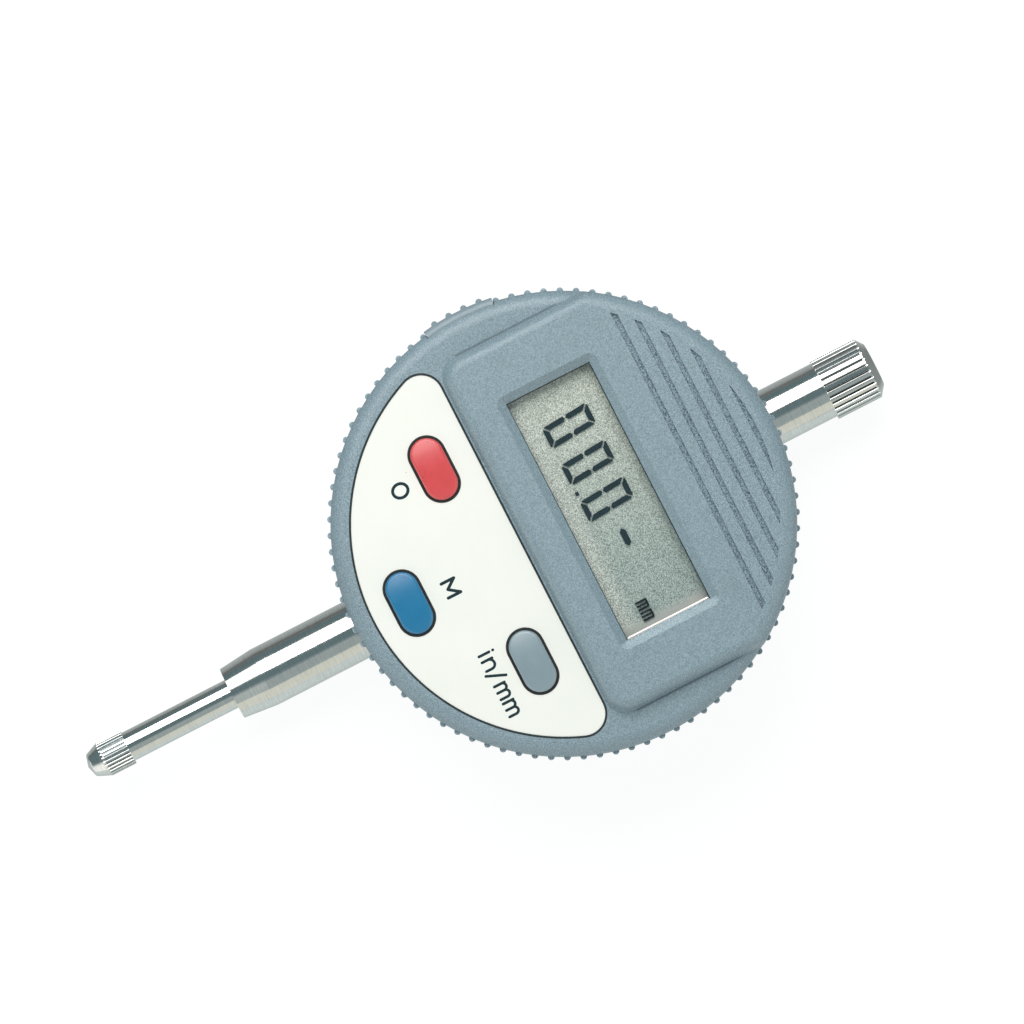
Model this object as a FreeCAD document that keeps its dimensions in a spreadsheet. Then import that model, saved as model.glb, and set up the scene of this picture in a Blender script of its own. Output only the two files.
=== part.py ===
"""Digital indicator with a turning display head, 12.7 mm travel and an 8 mm mounting stem.

Frame: +Z out of the display, +Y along the spindle towards the screw cap, +X to the right of the
display. The origin is on the back face, on the axis that the head turns about.
"""
import FreeCAD, Part
import math
import os
import Sketcher

V = FreeCAD.Vector

# How far a cutting tool runs past the face that it cuts, in millimetres
PAST = 1.0

# Driving dimensions in millimetres, degrees or counts
SIZES = {
    # Rear case
    "case_radius": 27.0, "case_wall": 2.2, "case_front": 13.2, "case_front_wall": 1.8,
    "back_thickness": 2.0, "back_edge_chamfer": 0.6, "case_post_radius": 2.0,
    "case_post_inset": 4.0, "neck_block_half_width": 5.6, "wire_hole_radius": 3.0,
    "hole_end_gap": 0.35,
    # Turning joint between case and head
    "hub_radius": 12.0, "hub_bore": 8.5, "turn_clearance": 0.05, "head_gap": 0.2,
    "axial_play": 0.1, "retainer_radius": 14.0, "retainer_thickness": 1.2,
    "retainer_screw_circle": 9.85, "ring_section": 0.5,
    "stop_circle": 18.0, "stop_radius": 1.2, "stop_height": 0.9, "stop_seat": 1.2,
    "stop_gap": 0.2, "stop_end_angle": 5.0, "turn_half_range": 135.0,
    # Measuring line
    "spindle_height": 7.0, "spindle_radius": 2.0, "spindle_clearance": 0.03,
    "spindle_reach": 15.1, "spindle_rise": 5.0, "travel": 12.7,
    "stem_radius": 4.0, "stem_bore": 2.6, "stem_reach": 21.0, "stem_inset": 6.0,
    "stem_spigot_radius": 3.7, "stem_taper": 4.6, "stem_tip_radius": 3.53,
    "bush_radius": 3.0, "bush_length": 6.0,
    "tube_radius": 3.8, "tube_bore": 2.7, "tube_reach": 10.9, "tube_spigot_radius": 3.5,
    "tube_neck_radius": 3.3, "tube_neck_length": 4.0, "tube_inset": 3.0, "top_bush_inset": 6.5,
    "cap_radius": 4.22, "cap_length": 7.2, "cap_chamfer_length": 1.0, "cap_chamfer_depth": 1.3,
    "cap_end_wall": 1.4, "cap_flutes": 30, "cap_flute_radius": 0.25, "cap_flute_depth": 0.17,
    "tip_radius": 2.39, "tip_collar": 3.4, "tip_length": 5.8, "tip_nose_radius": 1.55,
    "tip_nose_length": 0.45, "tip_nose_round": 0.5, "tip_stud_radius": 1.1,
    "tip_stud_length": 4.0, "tip_flutes": 30, "tip_flute_radius": 0.2, "tip_flute_depth": 0.13,
    # Carriage, scale and guide
    "bumper_thickness": 2.0, "bumper_radius": 4.4, "stop_clearance": 0.05,
    "carriage_length": 14.0, "carriage_left": 5.0, "carriage_right": 3.1,
    "carriage_below": 2.4, "carriage_above": 2.6, "clamp_screw_inset": 3.5,
    "scale_thickness": 0.5, "scale_inset": 0.5, "sensor_gap": 0.3, "sensor_thickness": 1.0,
    "sensor_left": 6.6, "sensor_right": 8.2, "sensor_end_gap": 2.4, "sensor_high": 9.0,
    "sensor_screw_inset": 1.8,
    "guide_pin_radius": 1.0, "guide_pin_seat": 1.5, "guide_clearance": 0.03,
    "rail_left": 11.0, "rail_right": 7.2, "rail_drop": 6.6, "rail_end": 4.0,
    "rail_slot_depth": 2.6, "rail_overrun": 0.5, "pin_end_gap": 0.3,
    "spring_wire": 0.2, "spring_mean_radius": 2.65, "spring_turns": 9, "spring_flats": 8,
    # Battery bay
    "lid_margin": 1.1, "cell_radius": 10.0, "cell_thickness": 3.2, "cell_gap": 0.1,
    "lid_radius": 11.6, "lid_gap": 0.1, "lid_rim_thickness": 1.0, "lid_neck_radius": 10.6,
    "lid_seal_thickness": 0.25, "lid_tab_reach": 0.7, "lid_tab_thickness": 0.65,
    "lid_tab_half_angle": 15.0, "lid_tab_angle_gap": 1.5, "lid_turn": 40.0,
    "lid_tab_clearance": 0.05,
    "lid_slot_width": 1.6, "lid_slot_length": 13.0, "lid_slot_depth": 0.6,
    "tray_gap": 0.15, "tray_wall": 0.8, "tray_low": 2.8, "tray_floor": 0.8,
    "contact_height": 0.7, "tray_leg_radius": 1.5, "tray_leg_offset": 7.0,
    "contact_width": 4.0, "contact_thickness": 0.3, "leaf_length": 8.0, "leaf_width": 3.0,
    "leaf_thickness": 0.2, "leaf_button_radius": 1.2,
    # Display head
    "head_radius": 29.75, "rim_round": 1.9, "head_wall": 1.55, "head_skin": 1.4,
    "face_height": 23.0, "platform_rise": 2.0, "platform_slope": 0.75,
    "platform_inset": 4.45, "platform_low_edge": 5.5, "platform_corner": 3.0,
    "platform_edge_round": 1.3,
    "rib_count": 90, "rib_radius": 0.43, "rib_phase": 1.8, "rib_foot": 0.9,
    "head_base_thickness": 1.8, "head_base_gap": 0.1,
    "head_boss_radius": 2.0, "head_boss_inset": 2.8,
    "window_side": 8.4, "window_low": 0.4, "window_high": 12.3, "window_bevel": 1.1,
    "window_bevel_depth": 0.9, "window_corner": 1.0, "window_foot_corner": 0.25,
    "window_lip": 0.2,
    "groove_width": 0.74, "groove_first": 17.86, "groove_pitch": 2.32, "groove_count": 5,
    "groove_depth": 0.4, "groove_inset": 2.25,
    "panel_drop": 0.3, "panel_inset": 2.45, "panel_corner": 3.0, "panel_thickness": 0.6,
    "panel_gap": 0.15, "panel_below_face": 0.05,
    # Buttons and switches
    "button_length": 8.35, "button_width": 4.27, "button_gap": 0.24, "button_proud": 0.8,
    "button_round": 0.4, "button_dome": 20.0, "button_flange": 0.9, "button_flange_thickness": 0.8,
    "button_flange_gap": 0.1, "button_travel": 0.5, "side_button_inset": 13.55,
    "side_button_drop": 5.7, "low_button_inset": 5.2,
    "switch_half_width": 2.6, "plunger_radius": 1.3, "plunger_clearance": 0.1,
    "plunger_rise": 0.8,
    # Electronics in the head
    "board_height": 17.0, "board_thickness": 1.2, "board_gap": 1.2,
    "board_notch_gap": 0.3, "board_post_radius": 2.0, "board_post_inset": 3.0,
    "lens_margin": 1.5, "lens_thickness": 0.9, "lens_fit": 0.05, "lens_rim": 0.35,
    "lens_dish": 0.17, "lcd_gap": 0.2, "lcd_thickness": 2.0, "lcd_margin": 1.1,
    "lcd_fit": 0.1, "lcd_frame_wall": 1.4, "lcd_frame_drop": 0.1,
    "zebra_width": 1.5, "zebra_inset": 0.2, "zebra_short": 1.5,
    "chip_width": 6.0, "chip_height": 1.0, "chip_y": 9.0,
    "wire_radius": 0.9,
    # Data socket and its cover
    "socket_half_width": 4.0, "socket_back": 0.45, "socket_length": 5.4, "socket_height": 3.0,
    "socket_mouth_half_width": 3.0, "socket_mouth_height": 1.8, "socket_depth": 2.6,
    "socket_pins": 4, "socket_pin_pitch": 1.3, "socket_pin_width": 0.5,
    "socket_pin_length": 1.0,
    "port_middle": 179.8, "port_half_angle": 9.4, "port_proud": 0.55, "port_depth": 0.8,
    "port_low": 15.4, "port_high": 22.2, "port_round": 0.9, "port_gap": 0.1,
    "port_ribs": 4, "port_tongue": 0.9,
    # Fasteners
    "screw_radius": 0.8, "screw_head_radius": 1.7, "screw_head_height": 0.9,
    "small_screw_radius": 0.6, "small_head_radius": 1.1, "small_head_height": 0.7,
    "screw_slot_width": 0.4, "screw_slot_depth": 0.4,
}

doc = FreeCAD.newDocument("DigitalIndicator")
sheet = doc.addObject("Spreadsheet::Sheet", "Sizes")
for row, (alias, number) in enumerate(SIZES.items(), start=1):
    sheet.set(f"A{row}", alias)
    sheet.set(f"B{row}", str(number))
    sheet.setAlias(f"B{row}", alias)
doc.recompute()


class Size:
    """A size as its present number and the sheet expression that gives it."""

    def __init__(self, number, text):
        self.number = number
        self.text = text

    def _join(self, sign, other, number):
        return Size(number, f"({self.text} {sign} {as_size(other).text})")

    def __add__(self, other):
        return self._join("+", other, self.number + as_size(other).number)

    def __sub__(self, other):
        return self._join("-", other, self.number - as_size(other).number)

    def __mul__(self, other):
        return self._join("*", other, self.number * as_size(other).number)

    def __truediv__(self, other):
        return self._join("/", other, self.number / as_size(other).number)

    def __radd__(self, other):
        return as_size(other) + self

    def __rsub__(self, other):
        return as_size(other) - self

    def __rmul__(self, other):
        return as_size(other) * self

    def __rtruediv__(self, other):
        return as_size(other) / self

    def __neg__(self):
        return Size(-self.number, f"(-1 * {self.text})")


def as_size(value):
    return value if isinstance(value, Size) else Size(value, repr(value))


class Sheet:
    """The sheet's cells by name, each as a Size."""

    def __getattr__(self, alias):
        return Size(SIZES[alias], f"Sizes.{alias}")


s = Sheet()


def on_circle(radius, angle):
    """The point at an angle in degrees on a circle about the origin."""
    angle = as_size(angle)
    turn = math.radians(angle.number)
    across = Size(math.cos(turn), f"cos({angle.text} * 1 deg)")
    along = Size(math.sin(turn), f"sin({angle.text} * 1 deg)")
    return as_size(radius) * across, as_size(radius) * along


def bind(thing, field, value):
    """Ties one property to the sheet."""
    thing.setExpression(field, as_size(value).text)


def put(thing, x=0, y=0, z=0):
    """Places an object at a point that is tied to the sheet."""
    for axis, value in zip("xyz", (x, y, z)):
        bind(thing, f"Placement.Base.{axis}", value)
    return thing


# Primitives and booleans

def box(label, xs, ys, zs):
    """A block between two values on each axis."""
    block = doc.addObject("Part::Box", label)
    for field, (low, high) in zip(("Length", "Width", "Height"), (xs, ys, zs)):
        bind(block, field, as_size(high) - low)
    return put(block, xs[0], ys[0], zs[0])


def rod(label, axis, radius, low, high, x=0, y=0, z=0):
    """A cylinder along X, Y or Z, from low to high on that axis."""
    cylinder = doc.addObject("Part::Cylinder", label)
    bind(cylinder, "Radius", radius)
    bind(cylinder, "Height", as_size(high) - low)
    turns = {"X": (V(0, 1, 0), 90), "Y": (V(1, 0, 0), -90), "Z": (V(0, 0, 1), 0)}
    cylinder.Placement = FreeCAD.Placement(V(), FreeCAD.Rotation(*turns[axis]))
    place = {"X": (low, y, z), "Y": (x, low, z), "Z": (x, y, low)}[axis]
    return put(cylinder, *place)


def cut(label, base, *tools):
    tool = tools[0] if len(tools) == 1 else fuse(label + "_tools", *tools)
    result = doc.addObject("Part::Cut", label)
    result.Base = base
    result.Tool = tool
    return result


def fuse(label, *pieces):
    result = doc.addObject("Part::MultiFuse", label)
    result.Shapes = list(pieces)
    return result


def common(label, *pieces):
    result = doc.addObject("Part::MultiCommon", label)
    result.Shapes = list(pieces)
    return result


def group(label, *pieces):
    """Like pieces that share a node and stay separate solids."""
    result = doc.addObject("Part::Compound", label)
    result.Links = list(pieces)
    return result


# Bodies, sketches and features

def new_body(label):
    return doc.addObject("PartDesign::Body", label)


def origin_part(body, role):
    return next(item for item in body.Origin.OriginFeatures if item.Role == role)


def sketch(body, name, plane="XY_Plane", offset=0):
    """A sketch on one of the body's origin planes, moved along its normal."""
    drawing = body.newObject("Sketcher::SketchObject", f"{body.Name}_{name}")
    drawing.AttachmentSupport = [(origin_part(body, plane), "")]
    drawing.MapMode = "FlatFace"
    bind(drawing, "AttachmentOffset.Base.z", offset)
    return drawing


def limit(drawing, kind, value, *where):
    """A dimension constraint tied to the sheet."""
    value = as_size(value)
    index = drawing.addConstraint(Sketcher.Constraint(kind, *where, float(value.number)))
    bind(drawing, f"Constraints[{index}]", value)


def pin_point(drawing, edge, end, x, y):
    limit(drawing, "DistanceX", x, -1, 1, edge, end)
    limit(drawing, "DistanceY", y, -1, 1, edge, end)


def flat(x, y):
    return V(as_size(x).number, as_size(y).number, 0)


def draw_outline(drawing, points):
    """A closed outline of straight edges through the points."""
    first = drawing.GeometryCount
    count = len(points)
    for index, point in enumerate(points):
        following = points[(index + 1) % count]
        drawing.addGeometry(Part.LineSegment(flat(*point), flat(*following)), False)
    for index, point in enumerate(points):
        edge = first + index
        following = first + (index + 1) % count
        drawing.addConstraint(Sketcher.Constraint("Coincident", edge, 2, following, 1))
        pin_point(drawing, edge, 1, *point)


def draw_rectangle(drawing, xs, ys):
    draw_outline(drawing, [(xs[0], ys[0]), (xs[1], ys[0]), (xs[1], ys[1]), (xs[0], ys[1])])


def draw_circle(drawing, radius, x=0, y=0):
    circle = Part.Circle(flat(x, y), V(0, 0, 1), as_size(radius).number)
    edge = drawing.addGeometry(circle, False)
    pin_point(drawing, edge, 3, x, y)
    limit(drawing, "Radius", radius, edge)


def draw_stadium(drawing, length, width, x=0, y=0):
    """Two straight edges joined by half circles, with its length along X."""
    half = as_size(width) / 2
    reach = as_size(length) / 2 - half
    ends = [(x - reach, y - half), (x + reach, y - half), (x + reach, y + half),
            (x - reach, y + half)]
    first = drawing.GeometryCount
    drawing.addGeometry(Part.LineSegment(flat(*ends[0]), flat(*ends[1])), False)
    drawing.addGeometry(Part.LineSegment(flat(*ends[2]), flat(*ends[3])), False)
    quarter = math.pi / 2
    for middle, start in ((x + reach, -quarter), (x - reach, quarter)):
        circle = Part.Circle(flat(middle, y), V(0, 0, 1), half.number)
        drawing.addGeometry(Part.ArcOfCircle(circle, start, start + math.pi), False)
    low, high, right, left = range(first, first + 4)
    for pair in ((right, 1, low, 2), (right, 2, high, 1), (left, 1, high, 2), (left, 2, low, 1)):
        drawing.addConstraint(Sketcher.Constraint("Coincident", *pair))
    for edge, end, point in ((low, 1, ends[0]), (low, 2, ends[1]), (high, 1, ends[2]),
                             (high, 2, ends[3])):
        pin_point(drawing, edge, end, *point)
    limit(drawing, "DistanceX", x + reach, -1, 1, right, 3)
    limit(drawing, "DistanceX", x - reach, -1, 1, left, 3)


def draw_rounded_rectangle(drawing, xs, ys, radius):
    """A rectangle whose corners are arcs."""
    radius = as_size(radius)
    (left, right), (low, high) = xs, ys
    sides = [((left + radius, low), (right - radius, low)),
             ((right, low + radius), (right, high - radius)),
             ((right - radius, high), (left + radius, high)),
             ((left, high - radius), (left, low + radius))]
    centres = [right - radius, right - radius, left + radius, left + radius]
    levels = [low + radius, high - radius, high - radius, low + radius]
    first = drawing.GeometryCount
    for start, stop in sides:
        drawing.addGeometry(Part.LineSegment(flat(*start), flat(*stop)), False)
    for quarter, (x, y) in enumerate(zip(centres, levels), start=-1):
        circle = Part.Circle(flat(x, y), V(0, 0, 1), radius.number)
        start = quarter * math.pi / 2
        drawing.addGeometry(Part.ArcOfCircle(circle, start, start + math.pi / 2), False)
    for side, (start, stop) in enumerate(sides):
        corner = first + 4 + side
        following = first + (side + 1) % 4
        drawing.addConstraint(Sketcher.Constraint("Coincident", first + side, 2, corner, 1))
        drawing.addConstraint(Sketcher.Constraint("Coincident", corner, 2, following, 1))
        pin_point(drawing, first + side, 1, *start)
        pin_point(drawing, first + side, 2, *stop)
        limit(drawing, "DistanceX", centres[side], -1, 1, corner, 3)


def draw_segment(drawing, radius, edge_y):
    """The part of a circle that lies below a straight edge at edge_y."""
    radius = as_size(radius)
    edge_y = as_size(edge_y)
    half = math.sqrt(radius.number ** 2 - edge_y.number ** 2)
    start = math.atan2(edge_y.number, -half)
    stop = math.atan2(edge_y.number, half)
    circle = Part.Circle(V(), V(0, 0, 1), radius.number)
    arc = drawing.addGeometry(Part.ArcOfCircle(circle, start, stop), False)
    chord = drawing.addGeometry(
        Part.LineSegment(V(half, edge_y.number, 0), V(-half, edge_y.number, 0)), False)
    for pair in ((arc, 2, chord, 1), (arc, 1, chord, 2), (arc, 3, -1, 1)):
        drawing.addConstraint(Sketcher.Constraint("Coincident", *pair))
    drawing.addConstraint(Sketcher.Constraint("Horizontal", chord))
    limit(drawing, "Radius", radius, arc)
    limit(drawing, "DistanceY", edge_y, -1, 1, chord, 1)


def feature(body, kind, name, profile=None):
    made = body.newObject(f"PartDesign::{kind}", f"{body.Name}_{name}")
    if profile is not None:
        made.Profile = profile
    return made


def pad(body, name, profile, length, reverse=False):
    made = feature(body, "Pad", name, profile)
    bind(made, "Length", length)
    made.Reversed = reverse
    return made


def pocket(body, name, profile, length, reverse=False):
    made = feature(body, "Pocket", name, profile)
    bind(made, "Length", length)
    made.Reversed = reverse
    return made


def revolve(body, name, profile):
    made = feature(body, "Revolution", name, profile)
    made.ReferenceAxis = (profile, ["V_Axis"])
    made.Angle = 360
    return made


def polar(body, name, original, count, axis="Z_Axis"):
    made = feature(body, "PolarPattern", name)
    made.Originals = [original]
    made.Axis = (origin_part(body, axis), [""])
    made.Angle = 360
    bind(made, "Occurrences", count)
    body.Tip = made
    return made


def round_edges(body, name, base, radius, wanted):
    """A fillet on the edges of a feature that the test wanted picks."""
    doc.recompute()
    made = feature(body, "Fillet", name)
    picked = [f"Edge{number}" for number, edge in enumerate(base.Shape.Edges, start=1)
              if wanted(edge)]
    made.Base = (base, picked)
    bind(made, "Radius", radius)
    return made


def near(value, target):
    return abs(value - as_size(target).number) < 1e-4


def level_edge(height):
    """Picks edges that lie flat at one height."""
    def wanted(edge):
        return near(edge.BoundBox.ZMin, height) and near(edge.BoundBox.ZMax, height)
    return wanted


def upright_edge(low, high):
    """Picks straight upright edges between two heights."""
    def wanted(edge):
        box_of = edge.BoundBox
        return near(box_of.ZMin, low) and near(box_of.ZMax, high) and box_of.DiagonalLength > 0
    return wanted


def turned_along_y(label, points):
    """A turned piece on the spindle line, from its radius and Y profile."""
    body = new_body(label)
    profile = sketch(body, "profile")
    draw_outline(profile, points)
    revolve(body, "turned", profile)
    return put(body, z=s.spindle_height)


# Levels up the instrument, from the back face

case_ceiling = s.case_front - s.case_front_wall
head_back = s.case_front + s.head_gap
head_base_top = head_back + s.head_base_thickness
hub_top = head_base_top + s.axial_play
retainer_top = hub_top + s.retainer_thickness
board_top = s.board_height + s.board_thickness
under_face = s.face_height - s.head_skin
platform_top = s.face_height + s.platform_rise
under_platform = platform_top - s.head_skin
lens_top = platform_top - s.window_bevel_depth - s.window_lip
lens_bottom = lens_top - s.lens_thickness
lcd_top = lens_bottom - s.lcd_gap
lcd_bottom = lcd_top - s.lcd_thickness
panel_floor = s.face_height - s.panel_thickness - s.panel_below_face
plunger_top = under_face - s.button_flange_gap - s.button_flange_thickness
switch_top = plunger_top - s.plunger_rise
case_inside = s.case_radius - s.case_wall
head_inside = s.head_radius - s.head_wall
cell_low = s.back_thickness + s.cell_gap
cell_high = cell_low + s.cell_thickness
tray_ceiling = cell_high + s.contact_height
tray_top = tray_ceiling + s.tray_floor

# Radii and half widths that follow from the case and the head

battery_x = s.case_radius - s.lid_radius - s.lid_margin
platform_half_width = s.head_radius - s.platform_inset
window_half_width = platform_half_width - s.window_side
panel_radius = s.head_radius - s.panel_inset
panel_edge = s.platform_low_edge + s.panel_drop
board_radius = head_inside - s.board_gap
port_inner = s.head_radius - s.port_depth

# Places along the spindle, from the axis of the head

stem_high = s.case_radius - s.stem_inset
stem_low = s.case_radius + s.stem_reach
spindle_low = stem_low + s.spindle_reach
tube_seat = s.case_radius - s.tube_inset
top_bush_low = s.case_radius - s.top_bush_inset
spindle_high = tube_seat + s.spindle_rise
tube_shoulder = s.case_radius + s.tube_reach
sensor_low = stem_high - s.sensor_end_gap
carriage_low = -stem_high + s.bumper_thickness + s.stop_clearance
carriage_high = carriage_low + s.carriage_length
guide_pin_y = carriage_low + s.carriage_length / 2
scale_top = s.spindle_height + s.carriage_above + s.scale_thickness
sensor_low_face = scale_top + s.sensor_gap
cap_high = tube_shoulder + s.cap_length

# Places of screws, posts and buttons

CASE_POST_ANGLES = (60, 120, 240, 300)
HEAD_BOSS_ANGLES = (60, 120, 235, 305)
BOARD_POST_ANGLES = (25, 155, 255, 285)
RETAINER_ANGLES = (90, 210, 330)
case_posts = [on_circle(s.case_radius - s.case_post_inset, angle) for angle in CASE_POST_ANGLES]
head_bosses = [on_circle(head_inside - s.head_boss_inset, angle) for angle in HEAD_BOSS_ANGLES]
board_posts = [on_circle(board_radius - s.board_post_inset, angle) for angle in BOARD_POST_ANGLES]
retainer_places = [on_circle(s.retainer_screw_circle, angle) for angle in RETAINER_ANGLES]
side_button_x = panel_radius - s.side_button_inset
side_button_y = -panel_edge - s.side_button_drop
BUTTONS = {
    "zero": (-side_button_x, side_button_y),
    "mode": (as_size(0), s.low_button_inset - panel_radius),
    "unit": (side_button_x, side_button_y),
}


def screw_set(label, places, head_end, tip_end, small=False):
    """Slotted cylinder-head screws along Z, heads at head_end and points at tip_end."""
    radius = s.small_screw_radius if small else s.screw_radius
    head_radius = s.small_head_radius if small else s.screw_head_radius
    head_height = s.small_head_height if small else s.screw_head_height
    head_end = as_size(head_end)
    tip_end = as_size(tip_end)
    upward = tip_end.number > head_end.number
    screws = []
    for number, (x, y) in enumerate(places, start=1):
        name = f"{label}_{number}"
        if upward:
            shank = rod(name + "_shank", "Z", radius, head_end + head_height, tip_end, x, y)
            head = rod(name + "_head", "Z", head_radius, head_end, head_end + head_height, x, y)
            slot_zs = (head_end, head_end + s.screw_slot_depth)
        else:
            shank = rod(name + "_shank", "Z", radius, tip_end, head_end - head_height, x, y)
            head = rod(name + "_head", "Z", head_radius, head_end - head_height, head_end, x, y)
            slot_zs = (head_end - s.screw_slot_depth, head_end)
        slot = box(name + "_slot", (x - head_radius, x + head_radius),
                   (y - s.screw_slot_width / 2, y + s.screw_slot_width / 2), slot_zs)
        screws.append(cut(name, fuse(name + "_solid", head, shank), slot))
    return group(label, *screws)


def make_rear_housing():
    """Moulded cup with the turning hub in front and blocks for the stem and the guard tube."""
    body = new_body("housing_shell")
    profile = sketch(body, "section", "XZ_Plane")
    groove_radius = s.hub_radius - 2 * s.ring_section
    groove_low = head_back + s.turn_clearance
    groove_high = groove_low + 2 * s.ring_section
    draw_outline(profile, [
        (s.case_radius, s.back_thickness), (s.case_radius, s.case_front),
        (s.hub_radius, s.case_front), (s.hub_radius, groove_low),
        (groove_radius, groove_low), (groove_radius, groove_high),
        (s.hub_radius, groove_high), (s.hub_radius, hub_top), (s.hub_bore, hub_top),
        (s.hub_bore, s.case_front), (s.wire_hole_radius, s.case_front),
        (s.wire_hole_radius, case_ceiling), (case_inside, case_ceiling),
        (case_inside, s.back_thickness)])
    revolve(body, "shell", profile)
    middle_wall = s.case_radius - s.case_wall / 2
    for name, near_y, far_y in (("stem_block", -stem_high, -middle_wall),
                                ("tube_block", top_bush_low, middle_wall)):
        block = sketch(body, name, offset=s.back_thickness)
        draw_rectangle(block, (-s.neck_block_half_width, s.neck_block_half_width),
                       (near_y, far_y))
        pad(body, name + "_pad", block, case_ceiling + s.case_front_wall / 2 - s.back_thickness)
    posts = sketch(body, "posts", offset=s.back_thickness)
    for x, y in case_posts:
        draw_circle(posts, s.case_post_radius, x, y)
    pad(body, "post_pad", posts, case_ceiling + s.case_front_wall / 2 - s.back_thickness)
    post_holes = sketch(body, "post_holes", offset=s.back_thickness)
    for x, y in case_posts:
        draw_circle(post_holes, s.screw_radius, x, y)
    pocket(body, "post_hole_cut", post_holes, case_ceiling - 2 * s.back_thickness, reverse=True)
    hub_holes = sketch(body, "hub_holes", offset=hub_top)
    for x, y in retainer_places:
        draw_circle(hub_holes, s.small_screw_radius, x, y)
    pocket(body, "hub_hole_cut", hub_holes, hub_top - s.case_front + s.case_front_wall / 2)
    stop_hole = sketch(body, "stop_hole", offset=s.case_front)
    draw_circle(stop_hole, s.stop_radius, 0, s.stop_circle)
    pocket(body, "stop_hole_cut", stop_hole, s.stop_seat)
    holes = [
        rod("housing_stem_bore", "Y", s.stem_spigot_radius, -s.case_radius - PAST,
            -stem_high + PAST, z=s.spindle_height),
        rod("housing_bush_bore", "Y", s.bush_radius, top_bush_low - PAST, tube_seat,
            z=s.spindle_height),
        rod("housing_tube_bore", "Y", s.tube_spigot_radius, tube_seat, s.case_radius + PAST,
            z=s.spindle_height),
    ]
    for number, (x, y) in enumerate(sensor_screw_places + rail_screw_places, start=1):
        holes.append(rod(f"housing_ceiling_hole_{number}", "Z", s.small_screw_radius,
                         case_ceiling - PAST,
                         case_ceiling + s.case_front_wall / 2 + s.hole_end_gap, x, y))
    return cut("rear_housing", body, *holes)


def make_back_cover():
    """Flat cover with screw holes and the stepped battery opening."""
    body = new_body("back_cover_blank")
    disc = sketch(body, "disc")
    draw_circle(disc, s.case_radius)
    plate = pad(body, "plate", disc, s.back_thickness)
    doc.recompute()
    chamfer = feature(body, "Chamfer", "edge")
    picked = [f"Edge{number}" for number, edge in enumerate(plate.Shape.Edges, start=1)
              if near(edge.BoundBox.ZMax, 0)]
    chamfer.Base = (plate, picked)
    bind(chamfer, "Size", s.back_edge_chamfer)
    heads = sketch(body, "screw_heads")
    shanks = sketch(body, "screw_shanks")
    for x, y in case_posts:
        draw_circle(heads, s.screw_head_radius + s.lid_gap, x, y)
        draw_circle(shanks, s.screw_radius, x, y)
    pocket(body, "head_cut", heads, s.screw_head_height, reverse=True)
    pocket(body, "shank_cut", shanks, s.back_thickness, reverse=True)
    rim = sketch(body, "lid_rim")
    draw_circle(rim, s.lid_radius + s.lid_gap, battery_x, 0)
    pocket(body, "lid_rim_cut", rim, s.lid_rim_thickness, reverse=True)
    neck = sketch(body, "lid_neck")
    draw_circle(neck, s.lid_neck_radius + s.lid_gap, battery_x, 0)
    pocket(body, "lid_neck_cut", neck, s.back_thickness, reverse=True)
    tab_zone = s.lid_neck_radius + s.lid_tab_reach + s.lid_gap
    relief = rod("tab_relief", "Z", tab_zone, s.back_thickness - s.lid_tab_clearance,
                 s.back_thickness + PAST, battery_x)
    notch_half = s.lid_tab_half_angle + s.lid_tab_angle_gap
    notches = [lid_sector(f"tab_notch_{side}", tab_zone, notch_half, 0,
                          s.back_thickness + PAST, 90 + 180 * side + s.lid_turn)
               for side in (0, 1)]
    rim_body = rod("back_cover_rim_keep", "Z", tab_zone, s.lid_rim_thickness,
                   s.back_thickness + PAST, battery_x)
    opened = common("tab_notches", fuse("tab_notch_pair", *notches), rim_body)
    return cut("back_cover", body, relief, opened)


def lid_sector(label, radius, half_angle, low, high, middle_angle):
    """A wedge of a cylinder about the battery lid's axis."""
    wedge = doc.addObject("Part::Cylinder", label)
    bind(wedge, "Radius", radius)
    bind(wedge, "Height", as_size(high) - low)
    bind(wedge, "Angle", 2 * as_size(half_angle))
    bind(wedge, "Placement.Rotation.Angle", as_size(middle_angle) - half_angle)
    return put(wedge, battery_x, 0, low)


def make_battery_lid():
    """Round lid with a coin slot and two bayonet tabs."""
    body = new_body("battery_lid_blank")
    disc = sketch(body, "disc")
    draw_circle(disc, s.lid_radius, battery_x, 0)
    pad(body, "rim", disc, s.lid_rim_thickness - s.lid_seal_thickness)
    neck = sketch(body, "neck")
    draw_circle(neck, s.lid_neck_radius, battery_x, 0)
    pad(body, "plug", neck, s.back_thickness)
    slot = sketch(body, "slot")
    draw_stadium(slot, s.lid_slot_length, s.lid_slot_width, battery_x, as_size(0))
    pocket(body, "coin_slot", slot, s.lid_slot_depth, reverse=True)
    tabs = []
    for side in (0, 1):
        sector = lid_sector(f"lid_tab_sector_{side}", s.lid_neck_radius + s.lid_tab_reach,
                            s.lid_tab_half_angle, s.back_thickness,
                            s.back_thickness + s.lid_tab_thickness, 90 + 180 * side)
        hollow = rod(f"lid_tab_hollow_{side}", "Z", s.cell_radius + s.tray_gap,
                     s.back_thickness - PAST, s.back_thickness + s.lid_tab_thickness + PAST,
                     battery_x)
        tabs.append(cut(f"lid_tab_{side}", sector, hollow))
    return fuse("battery_lid", body, *tabs)


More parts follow.
